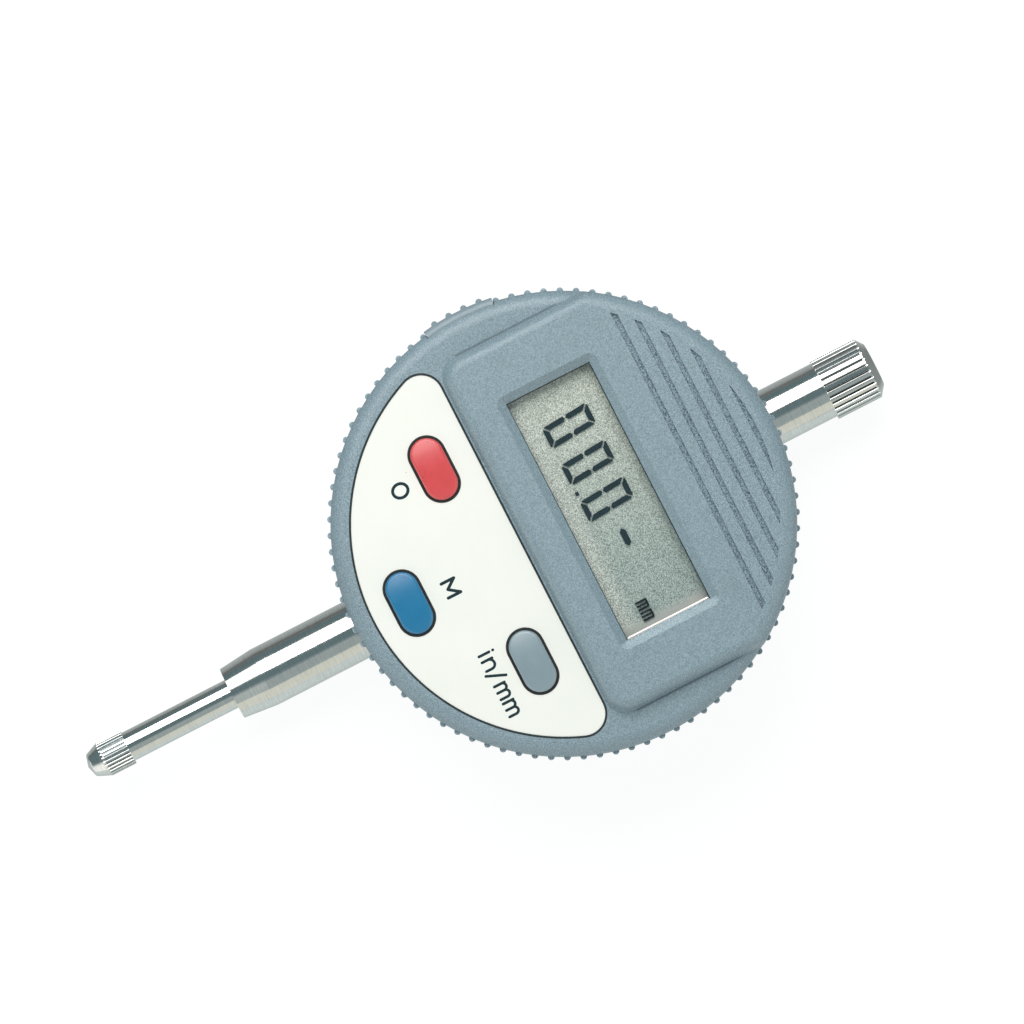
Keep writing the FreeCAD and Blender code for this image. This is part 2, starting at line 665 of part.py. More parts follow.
def make_battery_bay():
    """Seal, coin cell, tray with legs to the ceiling, and the two contacts."""
    x = battery_x
    seal_low = s.lid_rim_thickness - s.lid_seal_thickness
    seal = cut("lid_seal", rod("seal_disc", "Z", s.lid_radius, seal_low, s.lid_rim_thickness, x),
               rod("seal_hole", "Z", s.lid_neck_radius, seal_low - PAST,
                   s.lid_rim_thickness + PAST, x))
    cell = rod("coin_cell", "Z", s.cell_radius, cell_low, cell_high, x)
    inner = s.cell_radius + s.tray_gap
    half_width = s.contact_width / 2
    cup = rod("tray_cup", "Z", inner + s.tray_wall, s.tray_low, tray_top, x)
    room = rod("tray_room", "Z", inner, s.tray_low - PAST, tray_ceiling, x)
    notch = box("tray_notch", (x - half_width, x + half_width),
                (s.cell_radius, inner + s.tray_wall + PAST), (s.tray_low - PAST, tray_ceiling))
    inside = rod("tray_bound", "Z", case_inside - s.tray_gap, s.tray_low - PAST, case_ceiling)
    legs = [rod(f"tray_leg_{side}", "Z", s.tray_leg_radius, tray_top - s.tray_floor,
                case_ceiling, x, side * s.tray_leg_offset) for side in (-1, 1)]
    bowl = common("tray_bowl", cut("tray_hollow", cup, room, notch), inside)
    tray = fuse("battery_tray", bowl, *legs)
    plus = box("contact_plus", (x - half_width, x + half_width),
               (s.cell_radius, s.cell_radius + s.contact_thickness), (s.tray_low, tray_ceiling))
    leaf = box("minus_leaf", (x - s.leaf_length / 2, x + s.leaf_length / 2),
               (-s.leaf_width / 2, s.leaf_width / 2), (tray_ceiling - s.leaf_thickness, tray_ceiling))
    button = rod("minus_button", "Z", s.leaf_button_radius, cell_high,
                 tray_ceiling - s.leaf_thickness / 2, x)
    minus = fuse("contact_minus", leaf, button)
    return [seal, cell, tray, plus, minus]


def make_stem():
    """Ground stem, tapered at its free end, with a spigot for the case and a seat for its bush."""
    taper_high = -stem_low + s.stem_taper
    bush_high = -stem_low + s.bush_length
    return turned_along_y("stem", [
        (s.bush_radius, -stem_low), (s.stem_tip_radius, -stem_low),
        (s.stem_radius, taper_high), (s.stem_radius, -s.case_radius),
        (s.stem_spigot_radius, -s.case_radius), (s.stem_spigot_radius, -stem_high),
        (s.stem_bore, -stem_high), (s.stem_bore, bush_high), (s.bush_radius, bush_high)])


def make_bushes():
    """Bronze bushes at the free end of the stem and under the guard tube."""
    bore = s.spindle_radius + s.spindle_clearance
    places = {"lower_bushing": (-stem_low, -stem_low + s.bush_length),
              "upper_bushing": (top_bush_low, tube_seat)}
    return [turned_along_y(label, [(bore, low), (s.bush_radius, low), (s.bush_radius, high),
                                   (bore, high)]) for label, (low, high) in places.items()]


def fluted(body, radius, depth, flute_radius, count, start, length):
    """Straight flutes round a turned piece, from start towards -Y for length."""
    mark = sketch(body, "flute", "XZ_Plane", -start)
    draw_circle(mark, flute_radius, radius + flute_radius - depth, 0)
    groove = pocket(body, "flute_cut", mark, length, reverse=True)
    return polar(body, "flutes", groove, count, "Y_Axis")


def make_spindle():
    """Ground spindle with a threaded hole for the contact point."""
    low = -spindle_low
    hole_high = low + s.tip_stud_length
    return turned_along_y("spindle", [
        (s.tip_stud_radius, low), (s.spindle_radius, low), (s.spindle_radius, spindle_high),
        (0, spindle_high), (0, hole_high), (s.tip_stud_radius, hole_high)])


def make_contact_point():
    """Contact point: stud, fluted collar, cone and rounded nose."""
    high = -spindle_low
    cone_high = high - s.tip_collar
    low = high - s.tip_length
    nose_high = low + s.tip_nose_length
    body = turned_along_y("contact_point", [
        (0, high + s.tip_stud_length), (s.tip_stud_radius, high + s.tip_stud_length),
        (s.tip_stud_radius, high), (s.tip_radius, high), (s.tip_radius, cone_high),
        (s.tip_nose_radius, nose_high), (0, low)])

    def nose_edge(edge):
        return near(edge.BoundBox.YMin, nose_high) and near(edge.BoundBox.YMax, nose_high)

    round_edges(body, "nose", body.Tip, s.tip_nose_round, nose_edge)
    fluted(body, s.tip_radius, s.tip_flute_depth, s.tip_flute_radius, s.tip_flutes,
           high, s.tip_collar + s.tip_flute_depth * 2)
    return body


def make_guard_tube():
    """Tube over the upper end of the spindle: spigot in the housing, neck under the cap."""
    neck_high = tube_shoulder + s.tube_neck_length
    return turned_along_y("guard_tube", [
        (s.tube_bore, tube_seat), (s.tube_spigot_radius, tube_seat),
        (s.tube_spigot_radius, s.case_radius), (s.tube_radius, s.case_radius),
        (s.tube_radius, tube_shoulder), (s.tube_neck_radius, tube_shoulder),
        (s.tube_neck_radius, neck_high), (s.tube_bore, neck_high)])


def make_screw_cap():
    """Knurled cap screwed on the neck of the guard tube."""
    low = tube_shoulder
    body = turned_along_y("screw_cap", [
        (s.tube_neck_radius, low), (s.cap_radius, low),
        (s.cap_radius, cap_high - s.cap_chamfer_length),
        (s.cap_radius - s.cap_chamfer_depth, cap_high), (0, cap_high),
        (0, cap_high - s.cap_end_wall), (s.tube_neck_radius, cap_high - s.cap_end_wall)])
    fluted(body, s.cap_radius, s.cap_flute_depth, s.cap_flute_radius, s.cap_flutes,
           cap_high, s.cap_length)
    return body


def make_carriage_parts():
    """Bumper, carriage, its screw and pin, scale, sensor board and guide rail."""
    middle = s.spindle_height
    bumper = cut("bumper_ring",
                 rod("bumper_disc", "Y", s.bumper_radius, -stem_high,
                     -stem_high + s.bumper_thickness, z=middle),
                 rod("bumper_hole", "Y", s.stem_bore, -stem_high - PAST,
                     -stem_high + s.bumper_thickness + PAST, z=middle))
    block = box("carriage_block", (-s.carriage_left, s.carriage_right),
                (carriage_low, carriage_high),
                (middle - s.carriage_below, middle + s.carriage_above))
    grip = rod("carriage_bore", "Y", s.spindle_radius, carriage_low - PAST,
               carriage_high + PAST, z=middle)
    pin_hole = rod("carriage_pin_hole", "X", s.guide_pin_radius, -s.carriage_left - PAST,
                   -s.carriage_left + s.guide_pin_seat, y=guide_pin_y, z=middle)
    screw_y = carriage_high - s.clamp_screw_inset
    screw_hole = rod("carriage_screw_hole", "Z", s.small_screw_radius, 0, middle, y=screw_y)
    carriage = cut("carriage", block, grip, pin_hole, screw_hole)
    clamp = cut("carriage_screw",
                screw_set("carriage_screw_blank", [(as_size(0), screw_y)],
                          middle - s.carriage_below - s.small_head_height,
                          middle - s.spindle_radius / 2, small=True),
                rod("carriage_screw_tip", "Y", s.spindle_radius, carriage_low, carriage_high,
                    z=middle))
    pin_low = -s.rail_right - s.rail_slot_depth + s.pin_end_gap
    pin = rod("guide_pin", "X", s.guide_pin_radius, pin_low,
              -s.carriage_left + s.guide_pin_seat, y=guide_pin_y, z=middle)
    scale = box("linear_scale", (-s.carriage_left + s.scale_inset,
                                 s.carriage_right - s.scale_inset),
                (carriage_low, carriage_high),
                (middle + s.carriage_above, scale_top))
    board = box("sensor_plate", (-s.sensor_left, s.sensor_right), (-sensor_low, s.sensor_high),
                (case_ceiling - s.sensor_thickness, case_ceiling))
    board_holes = [rod(f"sensor_hole_{number}", "Z", s.small_screw_radius, 0,
                       case_ceiling + PAST, x, y)
                   for number, (x, y) in enumerate(sensor_screw_places, start=1)]
    sensor = cut("sensor_board", board, *board_holes)
    sensor_screws = screw_set("sensor_screws", sensor_screw_places,
                              case_ceiling - s.sensor_thickness - s.small_head_height,
                              case_ceiling + s.case_front_wall / 2, small=True)
    rail_low = guide_pin_y - s.guide_pin_radius - s.rail_end
    rail_high = guide_pin_y + s.travel + s.guide_pin_radius + s.rail_end
    bar = box("rail_bar", (-s.rail_left, -s.rail_right), (rail_low, rail_high),
              (case_ceiling - s.rail_drop, case_ceiling))
    slot_half = s.guide_pin_radius + s.guide_clearance
    slot_end = s.guide_pin_radius + s.rail_overrun
    slot = box("rail_slot", (-s.rail_right - s.rail_slot_depth, -s.rail_right + PAST),
               (guide_pin_y - slot_end, guide_pin_y + s.travel + slot_end),
               (middle - slot_half, middle + slot_half))
    rail_holes = [rod(f"rail_hole_{number}", "Z", s.small_screw_radius, 0, case_ceiling + PAST,
                      x, y) for number, (x, y) in enumerate(rail_screw_places, start=1)]
    rail = cut("guide_rail", bar, slot, *rail_holes)
    rail_screws = screw_set("rail_screws", rail_screw_places,
                            case_ceiling - s.rail_drop - s.small_head_height,
                            case_ceiling + s.case_front_wall / 2, small=True)
    return [bumper, carriage, clamp, pin, scale, sensor, sensor_screws, rail, rail_screws]


def make_return_spring():
    """Compression spring round the spindle, between the carriage and the upper bushing."""
    low = carriage_high + s.spring_wire
    high = top_bush_low - s.spring_wire
    helix = doc.addObject("Part::Helix", "spring_line")
    bind(helix, "Radius", s.spring_mean_radius)
    bind(helix, "Height", high - low)
    bind(helix, "Pitch", (high - low) / s.spring_turns)
    wire = doc.addObject("Part::RegularPolygon", "spring_section")
    bind(wire, "Polygon", s.spring_flats)
    bind(wire, "Circumradius", s.spring_wire)
    wire.Placement = FreeCAD.Placement(V(), FreeCAD.Rotation(V(1, 0, 0), 90))
    put(wire, x=s.spring_mean_radius)
    coil = doc.addObject("Part::Sweep", "return_spring")
    coil.Sections = [wire]
    coil.Spine = (helix, [])
    coil.Solid = True
    coil.Frenet = True
    coil.Placement = FreeCAD.Placement(V(), FreeCAD.Rotation(V(1, 0, 0), -90))
    return put(coil, 0, low, s.spindle_height)


def make_turning_joint():
    """O-ring, retaining ring, its screws and the stop pin, all on the case."""
    groove_radius = s.hub_radius - 2 * s.ring_section
    ring = doc.addObject("Part::Torus", "turn_o_ring")
    bind(ring, "Radius1", groove_radius + s.ring_section)
    bind(ring, "Radius2", s.ring_section)
    put(ring, 0, 0, head_back + s.turn_clearance + s.ring_section)
    plate = rod("retainer_plate", "Z", s.retainer_radius, hub_top, retainer_top)
    bore = rod("retainer_bore", "Z", s.hub_bore, hub_top - PAST, retainer_top + PAST)
    sinks = []
    for number, (x, y) in enumerate(retainer_places, start=1):
        sinks.append(rod(f"retainer_hole_{number}", "Z", s.small_screw_radius, hub_top - PAST,
                         retainer_top + PAST, x, y))
        sinks.append(rod(f"retainer_sink_{number}", "Z", s.small_head_radius,
                         retainer_top - s.small_head_height, retainer_top + PAST, x, y))
    retainer = cut("retaining_ring", plate, bore, *sinks)
    screws = screw_set("retainer_screws", retainer_places, retainer_top,
                       s.case_front, small=True)
    stop = rod("stop_pin", "Z", s.stop_radius, s.case_front - s.stop_seat,
               s.case_front + s.head_gap + s.stop_height, y=s.stop_circle)
    return [ring, retainer, screws, stop]


def make_head_base():
    """Back plate of the turning head: bearing hole, stop track, board posts and screw holes."""
    body = new_body("head_base_plate")
    disc = sketch(body, "disc", offset=head_back)
    draw_circle(disc, head_inside - s.head_base_gap)
    draw_circle(disc, s.hub_radius + s.turn_clearance)
    pad(body, "plate", disc, s.head_base_thickness)
    posts = sketch(body, "posts", offset=head_base_top)
    for x, y in board_posts:
        draw_circle(posts, s.board_post_radius, x, y)
    pad(body, "post_pad", posts, s.board_height - head_base_top)
    post_holes = sketch(body, "post_holes", offset=s.board_height)
    for x, y in board_posts:
        draw_circle(post_holes, s.small_screw_radius, x, y)
    pocket(body, "post_hole_cut", post_holes, s.board_height - head_base_top)
    heads = sketch(body, "screw_heads", offset=head_back)
    shanks = sketch(body, "screw_shanks", offset=head_back)
    for x, y in head_bosses:
        draw_circle(heads, s.screw_head_radius, x, y)
        draw_circle(shanks, s.screw_radius, x, y)
    pocket(body, "head_cut", heads, s.screw_head_height, reverse=True)
    pocket(body, "shank_cut", shanks, s.head_base_thickness, reverse=True)
    track_half = s.stop_radius + s.stop_gap
    half_span = s.turn_half_range + s.stop_end_angle
    ring = doc.addObject("Part::Cylinder", "stop_track_outer")
    bind(ring, "Radius", s.stop_circle + track_half)
    bind(ring, "Height", s.stop_height + s.stop_gap)
    bind(ring, "Angle", 2 * half_span)
    bind(ring, "Placement.Rotation.Angle", 90 - half_span)
    put(ring, 0, 0, head_back)
    core = rod("stop_track_inner", "Z", s.stop_circle - track_half, head_back - PAST,
               head_base_top + PAST)
    return cut("head_base", body, cut("stop_track", ring, core))


def stadium_prism(label, place, length, width, low, high):
    body = new_body(label)
    outline = sketch(body, "outline", offset=low)
    draw_stadium(outline, length, width, *place)
    pad(body, "prism", outline, as_size(high) - low)
    return body


def panel_prism(label, shrink, low, high):
    """The D shape of the button panel, with rounded ends."""
    body = new_body(label)
    outline = sketch(body, "outline", offset=low)
    draw_segment(outline, panel_radius - shrink, -panel_edge - shrink)
    slab = pad(body, "slab", outline, as_size(high) - low)
    round_edges(body, "corners", slab, s.panel_corner - shrink, upright_edge(low, high))
    return body


def make_front_cover():
    """Knurled cover: round base, raised platform, window, grip grooves, panel recess and holes."""
    low = new_body("cover_low")
    disc = sketch(low, "disc", offset=head_back)
    draw_circle(disc, s.head_radius)
    drum = pad(low, "drum", disc, s.face_height - head_back)
    round_edges(low, "rim", drum, s.rim_round, level_edge(s.face_height))
    rib_foot = head_back + s.rib_foot
    rib = sketch(low, "rib", offset=rib_foot)
    draw_circle(rib, s.rib_radius, *on_circle(s.head_radius, s.rib_phase))
    rib_pad = pad(low, "rib_pad", rib, s.face_height - s.rim_round - rib_foot)
    polar(low, "ribs", rib_pad, s.rib_count)

    high = new_body("cover_high")
    disc = sketch(high, "disc", offset=head_back)
    draw_circle(disc, s.head_radius)
    drum = pad(high, "drum", disc, platform_top - head_back)
    round_edges(high, "rim", drum, s.rim_round, level_edge(platform_top))

    shape = new_body("platform_shape")
    outline = sketch(shape, "outline", offset=s.face_height)
    side = platform_half_width
    draw_rectangle(outline, (-side, side),
                   (-s.platform_low_edge, s.head_radius + s.platform_slope + PAST))
    block = pad(shape, "block", outline, s.platform_rise)
    slope = math.degrees(math.atan(SIZES["platform_slope"] / SIZES["platform_rise"]))
    bind(block, "TaperAngle",
         Size(-slope, "-atan(Sizes.platform_slope / Sizes.platform_rise)"))

    def low_corner(edge):
        spot = edge.BoundBox
        return spot.ZLength > 1 and spot.YMax < 0

    corners = round_edges(shape, "corners", block, s.platform_corner, low_corner)
    round_edges(shape, "edge", corners, s.platform_edge_round, level_edge(platform_top))
    platform = common("cover_platform", high, shape)

    hollow = [
        rod("cover_room", "Z", head_inside, head_back - PAST, under_face),
        common("cover_upper_room",
               box("upper_room_box", (-side + s.platform_slope + s.head_skin,
                                      side - s.platform_slope - s.head_skin),
                   (-s.platform_low_edge + s.platform_slope + s.head_skin, s.head_radius),
                   (under_face - PAST, under_platform)),
               rod("upper_room_round", "Z", head_inside - s.rim_round, under_face - PAST,
                   under_platform)),
    ]
    shell = cut("cover_shell", fuse("cover_solid", low, platform), *hollow)
    bosses = [rod(f"cover_boss_{number}", "Z", s.head_boss_radius, head_base_top,
                  under_face + s.head_skin / 3, x, y)
              for number, (x, y) in enumerate(head_bosses, start=1)]
    holes = [rod(f"cover_boss_hole_{number}", "Z", s.screw_radius, head_base_top - PAST,
                 under_face - s.head_skin, x, y)
             for number, (x, y) in enumerate(head_bosses, start=1)]
    with_bosses = fuse("cover_with_bosses", shell, *bosses)

    tools = [make_window_tool(), make_groove_tool(),
             panel_prism("panel_recess", 0, panel_floor, s.face_height + PAST)]
    for name, place in BUTTONS.items():
        tools.append(stadium_prism(f"{name}_hole", place, s.button_length + 2 * s.button_gap,
                                   s.button_width + 2 * s.button_gap, under_face - PAST,
                                   s.face_height + PAST))
    tools.append(port_ring("port_notch", s.port_half_angle, port_inner,
                           s.head_radius + s.port_proud + PAST, s.port_low - s.port_gap,
                           s.port_high + s.port_gap))
    mouth = s.socket_mouth_half_width + s.port_gap
    tools.append(box("socket_opening", (-s.head_radius, -head_inside + PAST), (-mouth, mouth),
                     (socket_mouth_low - s.port_gap,
                      socket_mouth_low + s.socket_mouth_height + s.port_gap)))
    return cut("front_cover", with_bosses, *tools, *holes)


def make_window_tool():
    """Bevelled window opening, with a seat for the lens under it."""
    body = new_body("window_bevel_tool")
    bevel_low = platform_top - s.window_bevel_depth
    inner = sketch(body, "inner", offset=bevel_low)
    draw_rounded_rectangle(inner, (-window_half_width, window_half_width),
                           (s.window_low, s.window_high), s.window_foot_corner)
    spread = s.window_bevel
    outer = sketch(body, "outer", offset=platform_top)
    draw_rounded_rectangle(outer, (-window_half_width - spread, window_half_width + spread),
                           (s.window_low - spread, s.window_high + spread), s.window_corner)
    loft = feature(body, "AdditiveLoft", "bevel", inner)
    loft.Sections = [outer]
    loft.Ruled = True
    opening = box("window_opening", (-window_half_width, window_half_width),
                  (s.window_low, s.window_high), (lens_bottom - PAST, platform_top))
    margin = s.lens_margin + s.lens_fit
    seat = box("lens_seat", (-window_half_width - margin, window_half_width + margin),
               (s.window_low - margin, s.window_high + margin), (lens_bottom - PAST, lens_top))
    return fuse("window_tool", body, opening, seat)


def make_groove_tool():
    """Five grip grooves that end on one circle."""
    body = new_body("groove_strips")
    depth = platform_top - s.groove_depth
    strip = sketch(body, "strip", offset=depth)
    draw_rectangle(strip, (-s.head_radius, s.head_radius),
                   (s.groove_first - s.groove_width / 2, s.groove_first + s.groove_width / 2))
    first = pad(body, "first", strip, s.groove_depth + PAST)
    row = feature(body, "LinearPattern", "row")
    row.Originals = [first]
    row.Direction = (origin_part(body, "Y_Axis"), [""])
    bind(row, "Length", s.groove_pitch * (s.groove_count - 1))
    bind(row, "Occurrences", s.groove_count)
    body.Tip = row
    return common("groove_tool", body,
                  rod("groove_bound", "Z", s.head_radius - s.groove_inset, depth - PAST,
                      platform_top + PAST))


def make_button_panel():
    """White panel set in its recess, with three button holes."""
    slab = panel_prism("panel_slab", s.panel_gap, panel_floor, panel_floor + s.panel_thickness)
    holes = [stadium_prism(f"panel_hole_{name}", place, s.button_length + 2 * s.button_gap,
                           s.button_width + 2 * s.button_gap, panel_floor - PAST,
                           s.face_height + PAST)
             for name, place in BUTTONS.items()]
    return cut("button_panel", slab, *holes)


def draw_over_dome(drawing, radius, top, reach):
    """The space above a dome about the sketch's upright axis, out to reach."""
    radius, top, reach = as_size(radius), as_size(top), as_size(reach)
    middle = top - radius
    fall = radius.number - math.sqrt(radius.number ** 2 - reach.number ** 2)
    over = top + PAST
    circle = Part.Circle(flat(0, middle), V(0, 0, 1), radius.number)
    side = math.acos(reach.number / radius.number)
    dome = drawing.addGeometry(Part.ArcOfCircle(circle, side, math.pi / 2), False)
    path = [(reach, top - fall), (reach, over), (as_size(0), over), (as_size(0), top)]
    for start, stop in zip(path, path[1:]):
        drawing.addGeometry(Part.LineSegment(flat(*start), flat(*stop)), False)
    for pair in ((dome, 1, dome + 1, 1), (dome + 1, 2, dome + 2, 1),
                 (dome + 2, 2, dome + 3, 1), (dome + 3, 2, dome, 2)):
        drawing.addConstraint(Sketcher.Constraint("Coincident", *pair))
    pin_point(drawing, dome, 3, 0, middle)
    limit(drawing, "Radius", radius, dome)
    limit(drawing, "DistanceX", reach, -1, 1, dome, 1)
    limit(drawing, "DistanceX", 0, -1, 1, dome, 2)
    pin_point(drawing, dome + 1, 2, reach, over)
    pin_point(drawing, dome + 2, 2, 0, over)


def make_button(name, place):
    """Oval button with a domed top and a flange that keeps it in the cover."""
    body = new_body(f"{name}_cap")
    top = s.face_height + s.button_proud
    outline = sketch(body, "outline", offset=plunger_top)
    draw_stadium(outline, s.button_length, s.button_width, *place)
    pad(body, "prism", outline, top - plunger_top)
    over = sketch(body, "over", "XZ_Plane", -place[1])
    bind(over, "AttachmentOffset.Base.x", place[0])
    draw_over_dome(over, s.button_dome, top, s.button_length / 2 + PAST)
    dome = feature(body, "Groove", "dome", over)
    dome.ReferenceAxis = (over, ["V_Axis"])
    dome.Angle = 360

    def crown_edge(edge):
        spot = edge.BoundBox
        return not near(spot.ZMin, plunger_top) and not near(spot.ZMax, top)

    round_edges(body, "crown", dome, s.button_round, crown_edge)
    flange = stadium_prism(f"{name}_flange", place, s.button_length + 2 * s.button_flange,
                           s.button_width + 2 * s.button_flange, plunger_top,
                           plunger_top + s.button_flange_thickness)
    return fuse(f"{name}_button", body, flange)


def make_switches():
    """Three tact switches on the board, open above for their plungers."""
    bodies = []
    plungers = []
    for name, (x, y) in BUTTONS.items():
        half = s.switch_half_width
        shell = box(f"{name}_switch_block", (x - half, x + half), (y - half, y + half),
                    (board_top, switch_top))
        well_low = switch_top - s.button_travel - 2 * s.plunger_clearance
        well = rod(f"{name}_switch_well", "Z", s.plunger_radius + s.plunger_clearance,
                   well_low, switch_top + PAST, x, y)
        bodies.append(cut(f"{name}_switch", shell, well))
        plungers.append(rod(f"{name}_plunger", "Z", s.plunger_radius,
                            well_low + s.button_travel + s.plunger_clearance, plunger_top,
                            x, y))
    return [group("tact_switches", *bodies)] + plungers


def make_window_lens():
    """Clear lens with a slightly dished face inside the window."""
    margin = s.lens_margin
    plate = box("lens_plate", (-window_half_width - margin, window_half_width + margin),
                (s.window_low - margin, s.window_high + margin), (lens_bottom, lens_top))
    dish = new_body("lens_dish_tool")
    lower = sketch(dish, "lower", offset=lens_top - s.lens_dish)
    draw_rectangle(lower, (-window_half_width + s.lens_rim, window_half_width - s.lens_rim),
                   (s.window_low + s.lens_rim, s.window_high - s.lens_rim))
    upper = sketch(dish, "upper", offset=lens_top)
    draw_rectangle(upper, (-window_half_width, window_half_width),
                   (s.window_low, s.window_high))
    loft = feature(dish, "AdditiveLoft", "dish", lower)
    loft.Sections = [upper]
    loft.Ruled = True
    return cut("window_lens", plate, dish)


def make_display_parts():
    """LCD, its frame, zebra strips, the display board with its screws, and the chip."""
    margin = s.lcd_margin
    xs = (-window_half_width - margin, window_half_width + margin)
    ys = (s.window_low - margin, s.window_high + margin)
    lcd = box("lcd", xs, ys, (lcd_bottom, lcd_top))
    fit = s.lcd_fit
    wall = s.lcd_fit + s.lcd_frame_wall
    frame_top = under_face - s.lcd_frame_drop
    frame = cut("lcd_frame",
                box("lcd_frame_block", (xs[0] - wall, xs[1] + wall), (ys[0] - wall, ys[1] + wall),
                    (board_top, frame_top)),
                box("lcd_frame_room", (xs[0] - fit, xs[1] + fit), (ys[0] - fit, ys[1] + fit),
                    (board_top - PAST, frame_top + PAST)))
    strip_xs = (xs[0] + s.zebra_short, xs[1] - s.zebra_short)
    strips = []
    for name, low in (("lower", ys[0] + s.zebra_inset),
                      ("upper", ys[1] - s.zebra_inset - s.zebra_width)):
        strips.append(box(f"{name}_zebra", strip_xs, (low, low + s.zebra_width),
                          (board_top, lcd_bottom)))
    zebra = group("zebra_strips", *strips)
    plate = rod("board_plate", "Z", board_radius, s.board_height, board_top)
    notches = [rod(f"board_notch_{number}", "Z", s.head_boss_radius + s.board_notch_gap,
                   s.board_height - PAST, board_top + PAST, x, y)
               for number, (x, y) in enumerate(head_bosses, start=1)]
    holes = [rod(f"board_hole_{number}", "Z", s.small_screw_radius, s.board_height - PAST,
                 board_top + PAST, x, y) for number, (x, y) in enumerate(board_posts, start=1)]
    board = cut("display_board", plate, *notches, *holes)
    screws = screw_set("board_screws", board_posts, board_top + s.small_head_height,
                       head_base_top, small=True)
    half = s.chip_width / 2
    chip = box("display_chip", (-half, half), (-s.chip_y - half, -s.chip_y + half),
               (board_top, board_top + s.chip_height))
    wires = rod("signal_wires", "Z", s.wire_radius, case_ceiling, s.board_height)
    return [lcd, frame, zebra, board, screws, chip, wires]


def port_ring(label, half_angle, inner, outer, low, high):
    """Part of a ring about the head's axis, at the data port."""
    profile_body = new_body(label)
    section = sketch(profile_body, "section", "XZ_Plane")
    draw_rectangle(section, (inner, outer), (low, high))
    swept = feature(profile_body, "Revolution", "arc", section)
    swept.ReferenceAxis = (section, ["V_Axis"])
    bind(swept, "Angle", 2 * as_size(half_angle))
    swept.Midplane = True
    bind(profile_body, "Placement.Rotation.Angle", s.port_middle)
    return profile_body


def make_port_cover():
    """Snap-in cover of the data port, proud of the rim and with ribs of its own."""
    plate = new_body("port_plate")
    section = sketch(plate, "section", "XZ_Plane")
    outer = s.head_radius + s.port_proud
    side_gap = Size(math.degrees(SIZES["port_gap"] / SIZES["head_radius"]),
                    "(Sizes.port_gap / Sizes.head_radius * 180 / pi)")
    draw_rectangle(section, (port_inner + s.port_gap, outer), (s.port_low, s.port_high))
    swept = feature(plate, "Revolution", "arc", section)
    swept.ReferenceAxis = (section, ["V_Axis"])
    bind(swept, "Angle", 2 * (s.port_half_angle - side_gap))
    swept.Midplane = True

    def outer_top(edge):
        spot = edge.BoundBox
        return near(spot.ZMin, s.port_high) and near(spot.ZMax, s.port_high) \
            and near(spot.XMax, outer)

    round_edges(plate, "brow", swept, s.port_round, outer_top)
    bind(plate, "Placement.Rotation.Angle", s.port_middle)
    pitch = 360 / s.rib_count
    first = s.port_middle - pitch * (s.port_ribs - 1) / 2
    ribs = []
    for number in range(SIZES["port_ribs"]):
        x, y = on_circle(outer, first + pitch * number)
        ribs.append(rod(f"port_rib_{number}", "Z", s.rib_radius, s.port_low + s.rib_foot,
                        s.port_high - s.port_round, x, y))
    half = s.socket_mouth_half_width
    tongue = box("port_tongue_block",
                 (-port_inner - s.port_depth / 2, -head_inside + s.port_tongue),
                 (-half, half), (socket_mouth_low, socket_mouth_low + s.socket_mouth_height))
    return fuse("port_cover", plate, tongue, *ribs)


def make_data_socket():
    """Shallow data socket on the edge of the display board, with contact pins."""
    half = s.socket_half_width
    left = -head_inside + s.socket_back
    shell = box("socket_block", (left, left + s.socket_length), (-half, half),
                (board_top, board_top + s.socket_height))
    mouth = s.socket_mouth_half_width + s.port_gap
    room = box("socket_room", (left - PAST, left + s.socket_depth), (-mouth, mouth),
               (socket_mouth_low - s.port_gap,
                socket_mouth_low + s.socket_mouth_height + s.port_gap))
    pins = []
    for number in range(SIZES["socket_pins"]):
        y = s.socket_pin_pitch * (number - (s.socket_pins - 1) / 2)
        middle = socket_mouth_low + s.socket_mouth_height / 2
        width = s.socket_pin_width / 2
        pins.append(box(f"socket_pin_{number}",
                        (left + s.socket_depth - s.socket_pin_length,
                         left + s.socket_depth + s.socket_pin_length),
                        (y - width, y + width), (middle - width, middle + width)))
    return fuse("data_socket", cut("socket_shell", shell, room), *pins)


sensor_screw_places = [
    (s.sensor_right - s.sensor_screw_inset, -sensor_low + s.sensor_screw_inset),
    (s.sensor_right - s.sensor_screw_inset, s.sensor_high - s.sensor_screw_inset)]
rail_middle = -(s.rail_left + s.rail_right) / 2
rail_screw_reach = s.guide_pin_radius + (s.rail_end + s.rail_overrun) / 2
rail_screw_places = [
    (rail_middle, guide_pin_y - rail_screw_reach),
    (rail_middle, guide_pin_y + s.travel + rail_screw_reach)]
socket_mouth_low = board_top + (s.socket_height - s.socket_mouth_height) / 2

pieces = [make_rear_housing(), make_back_cover(), make_battery_lid()]
pieces += make_battery_bay()
pieces.append(screw_set("back_cover_screws", case_posts, 0, case_ceiling - s.back_thickness))
pieces += [make_stem(), *make_bushes(), make_spindle(), make_contact_point()]
pieces += [make_guard_tube(), make_screw_cap()]
pieces += make_carriage_parts()
pieces.append(make_return_spring())
pieces += make_turning_joint()
pieces += [make_head_base(), make_front_cover(), make_button_panel()]
pieces.append(screw_set("head_screws", head_bosses, head_back, under_face - 2 * s.head_skin))
for button_name, button_place in BUTTONS.items():
    pieces.append(make_button(button_name, button_place))
pieces += make_switches()
pieces.append(make_window_lens())
pieces += make_display_parts()
pieces += [make_data_socket(), make_port_cover()]

doc.recompute()

for item in doc.Objects:
    if "Invalid" in item.State or "Error" in item.State:
        raise RuntimeError(f"{item.Label} did not build: {item.State}")

os.makedirs("parts", exist_ok=True)
for piece in pieces:
    shape = piece.Shape
    if shape.isNull() or not shape.isValid() or not shape.Solids:
        raise RuntimeError(f"{piece.Label} has no sound shape")
    shape.exportStep(f"parts/{piece.Label}.step")
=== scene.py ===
import math

